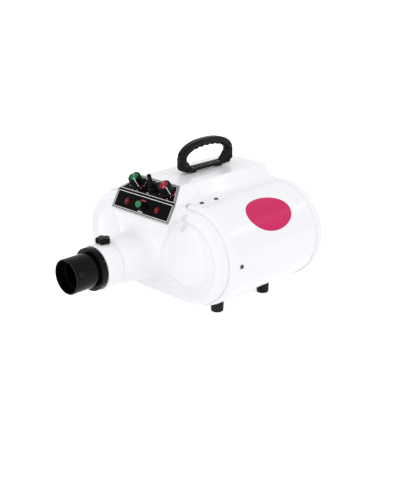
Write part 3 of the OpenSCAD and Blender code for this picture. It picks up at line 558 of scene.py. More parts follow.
class Profile:
    """Signed distance to an outline, read between the cells of one fine table."""

    def __init__(self, outline, low, high, step=0.5):
        self.low, self.step = low, step
        nu, nv = (int((b - a) / step) + 3 for a, b in zip(low, high))
        u, v = np.meshgrid(low[0] + step * np.arange(nu), low[1] + step * np.arange(nv), indexing="ij")
        self.table = outline_distance(outline, u, v)

    def at(self, u, v):
        i = np.clip((u - self.low[0]) / self.step, 0, self.table.shape[0] - 1.001)
        j = np.clip((v - self.low[1]) / self.step, 0, self.table.shape[1] - 1.001)
        a, b = i.astype(int), j.astype(int)
        s, t = i - a, j - b
        near = self.table[a, b] * (1 - t) + self.table[a, b + 1] * t
        far = self.table[a + 1, b] * (1 - t) + self.table[a + 1, b + 1] * t
        return near * (1 - s) + far * s


def blend_union(a, b, k):
    """Union of two fields with a fillet of about k."""
    h = np.maximum(k - np.abs(a - b), 0) / k
    return np.minimum(a, b) - h * h * k / 4


def blend_cut(a, b, k):
    """Intersection of two fields with a rounded edge."""
    return -blend_union(-a, -b, k)


def wrapped_planes(points):
    """The faces of the convex solid round points and their mirror images, as (normal, reach)."""
    work = bmesh.new()
    for p in points:
        work.verts.new(p)
        work.verts.new((-p[0], p[1], p[2]))
    bmesh.ops.convex_hull(work, input=work.verts)
    middle = sum((v.co for v in work.verts), Vector()) / len(work.verts)
    planes = []
    for face in work.faces:
        normal = face.normal.copy()
        if (face.verts[0].co - middle).dot(normal) < 0:
            normal.negate()
        if not any(normal.dot(n) > 0.9995 for n, _ in planes):
            planes.append((normal, face.verts[0].co.dot(normal)))
    work.free()
    return planes


def wrapped_field(planes, x, y, z, k):
    field = None
    for normal, reach in planes:
        side = normal.x * x + normal.y * y + normal.z * z - reach
        field = side if field is None else blend_cut(field, side, k)
    return field


def cover_outline():
    """Rim, ridge and valley as (radius, distance ahead of the seam)."""
    ridge_r, ridge_w, valley_r, valley_w, brim_w = R - 17, 22.0, R - 28, 15.0, 4.0
    points = [(-40, -TONGUE - BEYOND), (SKIRT_R, -TONGUE - BEYOND)]
    for k in range(13):
        angle = pi / 2 * k / 12
        rise = (ridge_w - brim_w) * sin(angle)
        points.append((ridge_r + (SKIRT_R - ridge_r) * cos(angle), brim_w + rise))
    for k in range(1, 13):
        u = k / 12
        rise = (ridge_w - valley_w) * (1 + cos(pi * u)) / 2
        points.append((ridge_r + (valley_r - ridge_r) * u, valley_w + rise))
    return points + [(-40, valley_w)]


def dome_outline():
    """A motor dome's flank and crown, standing on the valley."""
    foot, base, height, power = 55.0, 15.0, 21.5, 1.02
    crown = []
    for k in range(25):
        angle = pi / 2 * k / 24
        crown.append((foot * cos(angle) ** power, base + height * sin(angle) ** power))
    return [(-40, -20), (foot, -20)] + crown + [(-40, base + height)]


def duct_outline():
    """The duct's flare, from the valley to the neck."""
    r, length = NECK_R - 1, Y_SEAM - Y_DUCT
    flare = [(26, -20), (26, 0), (24, 15), (17, 24), (12, 35), (8.5, 47), (5.5, 60), (4, 80), (3, 96)]
    flare += [(0.5, length - 5), (-1, length), (-1, length + BEYOND)]
    return [(-30, -20)] + [(r + more, w) for more, w in flare] + [(-30, length + BEYOND)]


def tower_points():
    y = Y_SEAM - 0.3
    fall = (y - CREASE[0]) / (HUMP_Y - CREASE[0])
    shoulder = PANEL_W / 2 - (PANEL_W - FOLD_W) / 2 * fall
    front = [
        (PANEL_W / 2, *CREASE), (PANEL_W / 2, *SILL), (52, SILL[0] - 3, ZC + 42), (44, SILL[0] + 1, ZC + 4),
        (46, y, ZC), (62, y, ZC + 34), (74, y, ZC + 74), (shoulder, y, TOP_Z),
    ]
    past = HUMP_Y + BEYOND
    top = [
        (TOP_W / 2, past, FLAT_Z), (TOP_W / 2, BROW_Y, FLAT_Z), (PANEL_W / 2, *CREASE),
        (PANEL_W / 2, CREASE[0], TOP_Z - 3), (FOLD_W / 2, HUMP_Y, TOP_Z - 3), (FOLD_W / 2, past, TOP_Z - 3),
    ]
    return wrapped_planes(front), wrapped_planes(top)


TABLE_LOW, TABLE_TOP = (-1, -TONGUE - BEYOND - 1), Y_SEAM - Y_DUCT + 20
RIM = Profile(cover_outline(), TABLE_LOW, (R + 12, TABLE_TOP))
DOME = Profile(dome_outline(), TABLE_LOW, (3 * R, TABLE_TOP), 1.0)
DUCT = Profile(duct_outline(), TABLE_LOW, (3 * R, TABLE_TOP), 1.0)
TOWER_FRONT, TOWER_TOP = tower_points()


def front_cover_field(x, y, z):
    w = Y_SEAM - y
    skin = RIM.at(np.hypot(np.maximum(np.abs(x) - CX, 0), z - ZC), w)
    skin = blend_union(skin, DOME.at(np.hypot(np.abs(x) - CX, z - ZC - DOME_UP), w), 8)
    skin = blend_union(skin, wrapped_field(TOWER_FRONT, x, y, z, 6), 7)
    from_pit = zip((np.abs(x), y, z), PIT_AT, PIT_SIZE)
    pit = np.sqrt(sum(((at - middle) / radius) ** 2 for at, middle, radius in from_pit)) - 1
    skin = blend_cut(skin, -pit * min(PIT_SIZE), 5)
    skin = blend_union(skin, DUCT.at(np.hypot(x, z - Z_OUT), w), 16)
    return np.minimum(skin, wrapped_field(TOWER_TOP, x, y, z, 3))


def front_shell_field(x, y, z):
    form = front_cover_field(x, y, z)
    shell = np.maximum(form, -(form + COVER_T))
    back = np.where(z > TOP_Z, HUMP_Y + PAST, Y_SEAM + TONGUE)
    shell = np.maximum(shell, np.maximum(Y_DUCT - y, y - back))
    rho = np.hypot(np.maximum(np.abs(x) - CX, 0), z - ZC)
    sheet = np.maximum(np.maximum(Y_SEAM - 0.3 - y, SKIRT_R + 0.1 - rho), rho - (R + 0.2))
    under = np.maximum(np.maximum(np.abs(x) - 62, Y_SEAM - y), ZC + R - 24 - z)
    under = np.maximum(under, z - (TOP_Z + 0.2))
    return np.maximum(np.maximum(shell, -sheet), -under)


def make_front_cover():
    low = np.array([-(CX + SKIRT_R) - 4, Y_DUCT - 3.0, ZC - SKIRT_R - 4])
    high = np.array([CX + SKIRT_R + 4, HUMP_Y + PAST + 5, FLAT_Z + 4])
    shape = [int((b - a) / VOXEL) + 1 for a, b in zip(low, high)]
    x, y, z = (low[i] + VOXEL * np.arange(shape[i], dtype=float) for i in range(3))
    field = np.empty(shape, np.float32)
    for i in range(shape[0]):
        field[i] = front_shell_field(x[i], *np.meshgrid(y, z, indexing="ij"))
    grid = openvdb.FloatGrid(float(10 * VOXEL))
    grid.copyFromArray(field)
    points, quads = grid.convertToQuads(isovalue=0.0)
    points = np.asarray(points, float) * VOXEL + low
    for _ in range(2):
        step = 0.05
        here = front_shell_field(*points.T)
        slope = np.stack([
            (front_shell_field(*(points + step * axis).T) - front_shell_field(*(points - step * axis).T))
            / (2 * step) for axis in np.eye(3)
        ], axis=1)
        size = np.maximum((slope ** 2).sum(1), 0.3)
        points -= np.clip(here / size, -0.3, 0.3)[:, None] * slope
    holes = [bore(SIDE_BORE, True, s * KNOB_X) for s in (-1, 1)] + [bore(TOGGLE_FREE, True)]
    holes += [bore(SIDE_BORE, False, s * KNOB_X) for s in (-1, 1)] + [bore(BUTTON_BORE, False)]
    adds = [foot_strip(s, Y_SEAM + 10, HUMP_Y + 1, True) for s in (-1, 1)]
    seam = block((-CX - R, HUMP_Y, STRIP_Z - 0.1), (CX + R, HUMP_Y + 20, FLAT_Z + 8))
    return build("front_cover_skin", (points, np.asarray(quads)), WHITE_SHELL, 50,
                 replaces=("front_cover",), cuts=holes + [seam], adds=adds)


def fold_fillet(low_x, top_x, outer_x):
    """A side strip that curls up into a sloping side, from the strip's outer edge inwards."""
    slope = atan2(FLAT_Z - STRIP_Z, low_x - top_x)
    turn = pi - slope
    run = FILLET * tan((pi - turn) / 2)
    start = low_x - STRIP_T * (low_x - top_x) / (FLAT_Z - STRIP_Z) + run
    points = [(outer_x, STRIP_Z - 0.5), (outer_x, STRIP_Z + STRIP_T)]
    middle = (start, STRIP_Z + STRIP_T + FILLET)
    points += arc(middle, FILLET, 270, 270 - degrees(slope), 8)
    x, z = points[-1]
    return points + [(x - 3, z), (low_x - 6, STRIP_Z - 0.5)]


def foot_strip(side, y0, y1, chamfer=False):
    """Side strip with its fillet between two stations."""
    ends = [(y0, 91.0), (y1, FOLD_W / 2 + 9)]
    if chamfer:
        ends = [(y0, 88.0), (y0 + 1.5, 90.2), (y0 + 4, 91.6), (y0 + 7, 92.0), (y1, 92.0)]
    return loft([
        [(side * x, y, z) for x, z in fold_fillet(FOLD_W / 2, TOP_W / 2, outer_x)] for y, outer_x in ends
    ])


# ---- sleeve, hump and rear cover ----

SHEET_T = 2.0
ROLL_IN, ROLL_L = 6.0, 13.0
NOTCH_W, NOTCH_L = 124.0, 80.0
FOOT_X = 100
FEET_Y = {"front": Y_SEAM + 45, "rear": Y_SEAM + 166}


def make_sleeve():
    mid = Y_SEAM + ROLL_L
    turn = np.radians(np.linspace(0, 90, 15))
    outer = [(R - ROLL_IN + ROLL_IN * cos(a), mid - ROLL_L * sin(a)) for a in turn]
    turn = np.radians(np.linspace(90, 0, 11))
    inner_in, inner_l = ROLL_IN - SHEET_T, ROLL_L - SHEET_T
    inner = [(R - ROLL_IN + inner_in * cos(a), mid - inner_l * sin(a)) for a in turn]
    profile = [(R - SHEET_T, Y_REAR), (R - 0.4, Y_REAR), (R, Y_REAR - 0.4)] + outer + inner
    notch = block((-NOTCH_W / 2, Y_SEAM - 2, ZC), (NOTCH_W / 2, Y_SEAM + NOTCH_L, TOP_Z + 5))
    holes = [peg(2.7, 0, ZC, shift(s * FOOT_X, y, 0)) for s in (-1, 1) for y in FEET_Y.values()]
    build("sleeve_sheet", obround_sweep(profile), WHITE_PAINT, 40,
          replaces=("body_sleeve",), cuts=[notch] + holes)


def hump_outline(inset, soft, drop=0.0):
    """The hump across the case, drawn in by inset, with its upper edges rounded."""
    slope = atan2(FLAT_Z - STRIP_Z, (FOLD_W - TOP_W) / 2)
    side = inset / sin(slope)
    top = TOP_W / 2 - side + inset / tan(slope)
    foot = FOLD_W / 2 - side + drop / tan(slope)
    low, high = STRIP_Z - drop, FLAT_Z - inset
    return rounded([(foot, low, 0), (top, high, soft), (-top, high, soft), (-foot, low, 0)], 10)


def make_hump():
    y0, t, edge = HUMP_Y + 0.5, 1.8, 2.5
    sections = [(y0, 0.0), (Y_REAR - edge, 0.0)]
    for a in np.radians((22, 45, 68, 90)):
        sections.append((Y_REAR - edge + edge * sin(a), edge * (1 - cos(a))))

    def along(stations, soft, drop=0.0):
        return loft([[(x, y, z) for x, z in hump_outline(inset, soft, drop)] for y, inset in stations])

    outer = along(sections, 6.7)
    inner = along([(y0 - 9, t), (Y_REAR - t, t)], 5, 3)
    tuck = along([(y0 - 5, 0.7), (y0 + 1, 0.7)], 5)
    build("hump_cover", outer, WHITE_PAINT, 40, replaces=("top_cover",),
          adds=[foot_strip(s, y0 + 0.2, Y_REAR) for s in (-1, 1)] + [tuck], cuts=[inner])


GRILLE_R, SLOT_W, SLOT_PITCH = 58.0, 5.0, 10.0
GLAND_Z = box_mm("cord_gland")[0][2] + 11.0


def slot_outlines():
    """Upright slots with round ends, split at mid height, that fill a round field behind each motor."""
    out = []
    count = int((GRILLE_R - SLOT_W / 2) // SLOT_PITCH)
    for side in (-1, 1):
        for i in range(-count, count + 1):
            x = i * SLOT_PITCH
            half = sqrt(GRILLE_R ** 2 - x * x) - SLOT_W / 2
            for part in (-1, 1):
                ends = sorted((part * 4.0, part * half))
                outline = arc((side * CX + x, ZC + ends[1]), SLOT_W / 2, 0, 180, 8)
                outline += arc((side * CX + x, ZC + ends[0]), SLOT_W / 2, 180, 360, 8)
                out.append(outline)
    return out


def make_rear_cover():
    rc, lip, back_r, skin = R + 3.0, R - SHEET_T - 0.3, 6.0, 3.0
    ring = [(lip - skin, Y_REAR - 8), (lip, Y_REAR - 8), (lip, Y_REAR), (rc - 3, Y_REAR)]
    ring += arc((rc - 3, Y_REAR + 3), 3, -90, 0, 7)
    ring += arc((rc - back_r, Y_BACK - back_r), back_r, 0, 90, 11)
    outer = obround_solid(ring)
    hollow = obround_solid([(lip - skin, Y_REAR - 12), (lip - skin, Y_BACK - skin)])
    to_rear = rotation(90, "X")
    cuts = [hollow]
    for outline in slot_outlines():
        cuts.append(prism(outline, -(Y_BACK + 2), -(Y_BACK - skin - 2), to_rear))
    for radius, depth in ((8.2, skin + 2), (11.2, 1.2)):
        cuts.append(prism(circle(radius, 40, 0, GLAND_Z), -(Y_BACK + 2), -(Y_BACK - depth), to_rear))
    build("rear_cap", outer, WHITE_SHELL, 40, replaces=("rear_cover",), cuts=cuts)


# ---- outlet ----

TUBE_R, TUBE_IN = 30.0, 27.2
FLANGE_R = 37.0
Y_FLANGE = box_mm("adapter_flange")[0][1]
star_low, star_high = box_mm("clamp_knob")
STAR_Y = (star_low[1] + star_high[1]) / 2


def make_outlet():
    inner, step = 33.0, NECK_R - 2.2
    outline = rounded([
        (inner, Y_NECK, 0.5), (NECK_R, Y_NECK, 1.2), (NECK_R, Y_DUCT - 1.6, 0.5), (step, Y_DUCT - 1.4, 0.6),
        (step, Y_DUCT, 0), (inner, Y_DUCT, 0),
    ], 5)
    hole = peg(3.05, Z_OUT + 20, Z_OUT + 60, shift(0, STAR_Y, 0))
    build("neck_ring", about_outlet(outline), WHITE_SHELL, 40,
          replaces=("outlet_neck",), cuts=[hole])
    shoulder, groove, spigot, throat = Y_FLANGE + 2.1, TUBE_R - 0.5, 32.95, TUBE_IN - 2.4
    outline = rounded([
        (TUBE_IN, Y_FRONT, 0.6), (TUBE_R, Y_FRONT, 0.9), (TUBE_R, Y_FRONT + 3.2, 0.3),
        (groove, Y_FRONT + 3.4, 0.2), (groove, Y_FRONT + 4, 0.2), (TUBE_R, Y_FRONT + 4.2, 0.3),
        (TUBE_R, shoulder, 0), (spigot, shoulder, 0.3), (spigot, Y_DUCT - 4, 1), (throat, Y_DUCT - 4, 0.5),
        (throat, Y_FRONT + 18, 0.6), (TUBE_IN, Y_FRONT + 17.4, 0.4),
    ], 4)
    build("hose_adapter", about_outlet(outline), BLACK_GLOSS, 40, "adapter",
          replaces=("outlet_adapter",))
    outline = rounded([
        (TUBE_R + 0.05, Y_FLANGE, 0.3), (FLANGE_R, Y_FLANGE, 1.3), (FLANGE_R, Y_NECK - 0.3, 0.8),
        (spigot + 0.05, Y_NECK - 0.3, 0), (spigot + 0.05, Y_FLANGE + 2, 0), (TUBE_R + 0.05, Y_FLANGE + 2, 0),
    ], 5)
    low = shift(0, Y_NECK - 2.5, Z_OUT) @ rotation(141, "Y")
    notch = prism(rectangle(-2.2, -2.6, 2.2, 4), FLANGE_R - 1.6, FLANGE_R + 4, low)
    build("adapter_collar", about_outlet(outline), BLACK_GLOSS, 40, "adapter",
          replaces=("adapter_flange",), cuts=[notch])


def make_star():
    """A five-lobed knob with a dished, ringed top."""
    low, high = Z_OUT + NECK_R + 0.3, star_high[2] + 2
    reach, lobes = 13.0, 5

    def lobed(radius, height, angle):
        wave = 0.5 + 0.5 * cos(lobes * (angle - pi / 2))
        shape = 0.75 + 0.25 * wave ** 0.8
        return radius * (1 - clamp01((radius - 6.5) / 4) * (1 - shape))

    tall = high - low
    side = [(reach - r, h) for r, h in ((1.6, 0), (0.4, 0.5), (0, 1.4))]
    top = [(reach, 2.2), (reach - 0.3, 1.2), (reach - 1.2, 0.4), (reach - 2.6, 0.1), (7.4, 0.1), (6.4, 0.6)]
    top += [(5.6, 0.8), (5.0, 0.2), (4.2, 0), (0, 0)]
    profile = [(0, 0)] + side + [(r, tall - down) for r, down in top]
    place = shift(0, STAR_Y, low)
    stud = peg(3.0, -5.5, 0.5)
    build("clamp_star", lathe(profile, 120, lobed), BLACK_SATIN, 50, "clamp", place=place,
          replaces=("clamp_knob",), adds=[stud])


# ---- control panel ----

SCALE_START, SCALE_STEP = radians(212), radians(27)
CAP_TURN = 45.0
PANEL_T, PANEL_GAP = 1.2, 0.1
FACE_H = PANEL_T + PANEL_GAP
END_V = UPPER_L - 0.8
# the printed lines' lower and upper face over the panel's
PRINT_Z = -0.04, 0.06


def edge_x(v):
    """Half width of the upper facet at v up its slope."""
    return PANEL_W / 2 - (PANEL_W / 2 - TOP_W / 2 + 0.8) * max(0.0, v) / END_V


def facet_yz(upper, v, h):
    point = facet(upper, 0, v, h).translation
    return point.y, point.z


def make_panel():
    half_bend = (LOWER_TILT - UPPER_TILT) / 2

    def crease(h):
        middle = (LOWER_TILT + UPPER_TILT) / 2
        k = h / cos(half_bend)
        return CREASE[0] - k * sin(middle), CREASE[1] + k * cos(middle)

    bend = []
    bend_r, bend_steps = 1.4, 6
    y, z = crease(FACE_H - bend_r)
    for part in range(bend_steps + 1):
        tilt = LOWER_TILT + (UPPER_TILT - LOWER_TILT) * part / bend_steps
        bend.append((y - bend_r * sin(tilt), z + bend_r * cos(tilt)))
    outline = [facet_yz(False, 0, PANEL_GAP), facet_yz(False, 0, FACE_H)] + bend
    outline += [facet_yz(True, END_V, FACE_H), facet_yz(True, END_V, PANEL_GAP), crease(PANEL_GAP)]
    cuts = []
    past, outer = END_V + 5, PANEL_W / 2 + 9
    for s in (-1, 1):
        wedge = [(s * PANEL_W / 2, 0.0), (s * outer, 0.0), (s * outer, past), (s * edge_x(past), past)]
        cuts += [prism(wedge, -4, 6, facet(True))]
        cuts += [bore(SIDE_BORE, True, s * KNOB_X), bore(SIDE_BORE, False, s * KNOB_X)]
    cuts += [bore(TOGGLE_BORE, True), bore(BUTTON_BORE, False)]
    panel = build("panel_sheet", across(outline, -PANEL_W / 2, PANEL_W / 2), PANEL_INK, 30,
                  replaces=("control_panel",), cuts=cuts)
    soften(panel, 0.25, 2, 50)


def ribbon(points, width, closed=False):
    """A flat printed line along points in a facet's own plane, with a little thickness."""
    n = len(points)
    left, right = [], []
    for i, p in enumerate(points):
        a = Vector(points[i - 1] if closed or i else points[0])
        b = Vector(points[(i + 1) % n] if closed or i < n - 1 else points[-1])
        here = Vector(p)
        into = (here - a).normalized() if (here - a).length > 1e-6 else (b - here).normalized()
        out = (b - here).normalized() if (b - here).length > 1e-6 else into
        side = Vector((-(into.y + out.y), into.x + out.x)).normalized()
        reach = width / 2 / max(0.3, side.dot(Vector((-into.y, into.x))))
        left.append(here + side * reach)
        right.append(here - side * reach)
    base, top = PRINT_Z
    points = []
    for l, r in zip(left, right):
        points += [(l.x, l.y, base), (l.x, l.y, top), (r.x, r.y, top), (r.x, r.y, base)]
    faces = grid_faces(n, 4, loop_rows=closed)
    if not closed:
        faces += [(3, 2, 1, 0), (4 * n - 4, 4 * n - 3, 4 * n - 2, 4 * n - 1)]
    return points, faces


def on_face(solid, upper, u=0.0, v=0.0):
    return moved(solid[0], facet(upper, u, v, FACE_H)), solid[1]


def joined(parts):
    points, faces = [], []
    for more, cells in parts:
        base = len(points)
        points += list(more)
        faces += [tuple(base + i for i in cell) for cell in cells]
    return points, faces


def frame_line(upper, inset, at_crease):
    """The border of a facet from the crease round its outer edge, drawn in by inset."""
    if upper:
        v0, v1 = at_crease, END_V - inset
        lean = inset * 1.13
        x0, x1 = edge_x(v0) - lean, edge_x(v1) - lean
        return [(-x0, v0), (-x1, v1), (x1, v1), (x0, v0)]
    v0, v1 = inset, LOWER_L - at_crease
    x = PANEL_W / 2 - inset
    return [(-x, v1), (-x, v0), (x, v0), (x, v1)]


def numeral(text, height):
    """A figure about its own middle, as a thin solid in the XY plane."""
    curve = bpy.data.curves.new("numeral", "FONT")
    curve.body = text
    curve.size = height / 0.7
    curve.extrude = 0.05
    curve.resolution_u = 3
    curve.align_x, curve.align_y = "CENTER", "CENTER"
    holder = add_object("numeral", curve)
    mesh = evaluated_mesh(holder)
    solid = [tuple(v.co) for v in mesh.vertices], [tuple(f.vertices) for f in mesh.polygons]
    bpy.data.objects.remove(holder)
    return solid


def make_prints():
    white, red, teal = [], [], []
    for upper, at_crease in ((True, 3.2), (False, 1.7)):
        white.append(on_face(ribbon(frame_line(upper, 3.4, at_crease), 1.1, closed=True), upper))
        white.append(on_face(ribbon(frame_line(upper, 0.9, 0.2), 0.8), upper))
    for s in (-1, 1):

        def mark(solid):
            return on_face(solid, True, s * KNOB_X, ROW_V)

        for number in range(11):
            angle = SCALE_START - SCALE_STEP * number
            along, up = cos(angle), sin(angle)
            if number % 2:
                stroke = ribbon([(r * along, r * up) for r in (14.4, 16.2)], 0.8)
                (teal if number == 5 else white).append(mark(stroke))
            else:
                figure, faces = numeral(str(number), 2.7)
                white.append(mark(([(x + 16.4 * along, y + 16.4 * up, z) for x, y, z in figure], faces)))
        red.append(mark(ribbon(arc((0, 0), 14.5, 25, -35, 24), 1.0)))
        (red if s > 0 else white).append(mark(prism(circle(0.9, 20, -1.1, -15.5), *PRINT_Z)))
    white.append(on_face(ribbon([(-4.2, 6.6), (0.4, 6.6)], 1.3), True))
    white.append(on_face(ribbon(arc((0, 0), 1.7, 0, 345, 20), 0.8), True, -1.5, 34.4))
    red.append(on_face(ribbon([(-6.5, 25.7), (4.5, 25.7)], 1.9), False))
    white.append(on_face(ribbon([(-6.0, 6.1), (5.5, 6.1)], 1.7), False))
    build("print_white", joined(white), INK_WHITE, 30)
    build("print_red", joined(red), INK_RED, 30)
    build("print_teal", joined(teal), INK_TEAL, 30)


KNOB_H, CAP_Z = 17.5, 16.6
KNOB_R, KNOB_TOP_R, CAP_R = 13.0, 11.7, 8.1
KNOBS = {"air": (-1, "air_control", GREEN_SPUN, -38), "heat": (1, "heat_control", RED_SPUN, -22)}


def make_knob(kind):
    """A skirted knob with shallow flutes, a turned metal cap and a white pointer line down its side."""
    s, body, color, pointer = KNOBS[kind]
    base = facet(True, s * KNOB_X, ROW_V, PANEL_T + 0.6)

    def fluted(radius, height, angle):
        depth = clamp01((height - 4.6) / 1.2) * clamp01((KNOB_H + 0.3 - height) / 1.6)
        wave = abs(cos(5 * (angle - radians(pointer))))
        return radius - (0.7 * depth * (1 - wave) ** 1.4 if radius > CAP_R + 1 else 0)

    skirt = [(-0.3, 0), (0, 0.3), (0, 1.7), (-0.3, 2.2), (-0.9, 2.6)]
    side = [(0.6, 3.4), (0.3, 4.4), (0.22, 6), (0.12, 10), (0, 14), (-0.05, 16.2), (-0.3, 16.9)]
    side += [(-0.8, 17.35), (-1.4, KNOB_H)]
    seat = [(0.1, KNOB_H), (0.05, 17.3), (0.05, CAP_Z)]
    profile = [(0, 0)]
    for radius, steps in ((KNOB_R, skirt), (KNOB_TOP_R, side), (CAP_R, seat)):
        profile += [(radius + more, h) for more, h in steps]
    profile += [(0, CAP_Z)]
    build(f"{kind}_knob_body", lathe(profile, 144, fluted), BLACK_SATIN, 45, body, place=base,
          replaces=(f"{kind}_knob",), cuts=[peg(3.0, -1, 12.1), peg(5.0, -1, 1.0)])
    cap = [
        (0, 0), (CAP_R - 0.05, 0), (CAP_R, 0.1), (CAP_R, 1.1), (CAP_R - 0.3, 1.5), (CAP_R - 0.8, 1.6),
        (1.2, 1.2), (0.9, 1.35), (0, 1.4),
    ]
    top = base @ shift(0, 0, CAP_Z) @ rotation(CAP_TURN, "Z")
    build(f"{kind}_knob_disc", lathe(cap, 96), color, 30, body, place=top, replaces=(f"{kind}_knob_cap",))
    line = [(r, h) for r, h in profile if CAP_R + 0.05 < r < KNOB_R and h > 2]
    strip = []
    for r, h in line:
        r, h = r + 0.06, h + 0.06 * (h > KNOB_H - 1)
        strip.append([(r - 0.4, -0.6, h - 0.3), (r, -0.6, h), (r, 0.6, h), (r - 0.4, 0.6, h - 0.3)])
    turn = rotation(pointer, "Z")
    build(f"{kind}_pointer", loft(strip), INK_WHITE, 30, body, "black_gloss", place=base @ turn)


def make_toggle():
    ring = rounded([
        (6.0, 0, 0), (9.8, 0, 0.3), (9.8, 1.6, 0.4), (8.9, 2.2, 0.5), (8.6, 3.8, 0.7), (7.4, 5, 0.5),
        (6.4, 5, 0.4),
    ], 4)
    base = facet(True, 0, ROW_V, PANEL_T + 0.1)
    build("toggle_ring", lathe(ring, 96), BLACK_SATIN, 40, place=base, replaces=("toggle_nut",))
    lean = facet(True, 0, ROW_V, PANEL_T + 3) @ rotation(-15, "X")
    ball = [(0, -4.4), (2, -4.2), (3.6, -2.9), (4.5, -1), (4.6, 0), (4.5, 1.1), (4.3, 2.4)]
    collars = [
        (4.45, 3.0), (4.8, 3.4), (4.85, 4.2), (4.45, 4.7), (4.0, 5.0), (3.95, 5.6), (4.3, 6.0), (4.35, 6.7),
        (4.0, 7.2),
    ]
    bat = [
        (3.5, 7.6), (3.35, 9), (3.3, 14), (3.35, 18), (3.6, 20.5), (3.75, 22), (3.6, 23.2), (3.1, 24.1),
        (2.2, 24.6), (1, 24.8), (0, 24.8),
    ]
    pin = peg(1.2, -5.8, 5.8, rotation(90, "Y"))
    build("toggle_lever", lathe(ball + collars + bat, 72), BLACK_SATIN, 50, "toggle", place=lean,
          replaces=("power_toggle",), adds=[pin])


def make_button_and_lamps():
    base = facet(False, 0, LAMP_V, PANEL_T)
    cap = [
        (0, -4), (2, -4), (2, 6), (5.6, 6), (5.8, 6.2), (5.8, 10.6), (5.65, 11.4), (5.2, 12.2), (4.4, 12.9),
        (3.2, 13.3), (1.6, 13.55), (0, 13.6),
    ]
    build("green_button", lathe(cap, 72), GREEN_CAP, 50, "button", place=base, replaces=("push_button",))
    barrel = [(6.0, 0.1, 0), (8, 0.1, 0.3), (8, 1.2, 0.4), (7.3, 1.8, 0.4), (7.0, 8.6, 0.6), (6.0, 8.9, 0.2)]
    build("button_barrel", lathe(rounded(barrel, 4), 72), BLACK_SATIN, 40, place=base)
    bezel = [(4.5, 0.0), (6.2, 0.0), (6.3, 0.3), (6.1, 1.0), (5.5, 1.35), (5.0, 1.2)]
    crown = [(5.3 * cos(a), 0.9 + 3.0 * sin(a)) for a in np.radians((0, 15, 30, 45, 58))]
    dome = [(0, -16), (4.4, -16), (4.4, 0.6)] + crown + [(2.5, 3.3), (2.2, 3.0), (0, 2.85)]
    # the small dome in the lens's middle carries the painted highlight
    painted_highlight = [(0, 2.4), (2.0, 2.4), (2.05, 2.9), (1.7, 3.5), (1.0, 3.9), (0, 4.05)]
    for s, side in SIDES:
        place = facet(False, s * KNOB_X, LAMP_V, FACE_H)
        build(f"lamp_bezel_{side}", lathe(bezel, 64), RED_RIM, 40, place=place)
        build(f"lamp_lens_{side}", lathe(dome, 64), RED_LENS, 28, place=place, replaces=(f"lamp_{side}",))
        build(f"lamp_core_{side}", lathe(painted_highlight, 40), RED_PAINTED_HIGHLIGHT, 28, place=place)


# ---- handle ----

grip_low, grip_high = box_mm("handle_grip")
HY = (grip_low[1] + grip_high[1]) / 2
SPAN = 119.0
SPLIT_Z = FLAT_Z + 30
GRIP_Z = FLAT_Z + 50
BAR_Z = FLAT_Z + 3.5
BAR_T = 4.5
BAR_W = 18.0
BOSS_Y = 33
# how far above the bar's underside an ear is drawn in, and by how much
EAR_FOOT = (3.2, 4.2), (3.7, 2.6), (4.8, 1.3), (6.6, 0.5), (9, 0)
# the arch's flattening, and how far below the split its circle is centred
ARCH_POWER, ARCH_DROP = 0.86, 8


def grip_point(angle):
    """Middle line of the grip: a flattened arch."""
    c, s = cos(angle), sin(angle)
    rise = (GRIP_Z - SPLIT_Z + ARCH_DROP) * max(s, 0.0) ** ARCH_POWER
    return HY + SPAN / 2 * copysign(abs(c) ** ARCH_POWER, c), SPLIT_Z - ARCH_DROP + rise


LOW_ANGLE = asin((8.2 / (GRIP_Z - SPLIT_Z + ARCH_DROP)) ** (1 / ARCH_POWER))
GRIP_IN, GRIP_OUT, GRIP_HALF = 6.6, 7.2, 8.3
FINGER_STEP = 14.0


def grip_section(inner, drawn_in=0.0):
    """The grip across its line: rounded inside, ridged outside, drawn in on all sides."""
    half, outer = GRIP_HALF - drawn_in, GRIP_OUT - drawn_in
    return rounded([
        (-half, -inner + drawn_in, 5.0), (half, -inner + drawn_in, 5.0), (half, outer - 2.2, 2.4),
        (half - 3.1, outer + 0.1, 1.4), (-half + 3.1, outer + 0.1, 1.4), (-half, outer - 2.2, 2.4),
    ], 5)


def make_grip():
    """The arch: a rounded section with a raised ridge outside and finger waves inside."""
    sections = []
    steps = 120
    for i in range(steps + 1):
        u = i / steps
        angle = LOW_ANGLE + (pi - 2 * LOW_ANGLE) * u
        y, z = grip_point(angle)
        y1, z1 = grip_point(angle + 0.01)
        y2, z2 = grip_point(angle - 0.01)
        along = Vector((y1 - y2, z1 - z2)).normalized()
        if i in (0, steps):
            along = Vector((0, 1 if i == 0 else -1))
        outward = Vector((along.y, -along.x))
        near_end = min(1.0, min(u, 1 - u) / 0.02)
        off = abs(y - HY)
        wave = 0.8 * exp(-(off / 40) ** 8) * cos(2 * pi * off / FINGER_STEP)
        corners = grip_section(GRIP_IN + wave, 0.7 * (1 - near_end))
        sections.append([(x, y + outward.x * n, z + outward.y * n) for x, n in corners])
    build("grip_arch", loft(sections), BLACK_GRIP, 32, replaces=("handle_grip",))


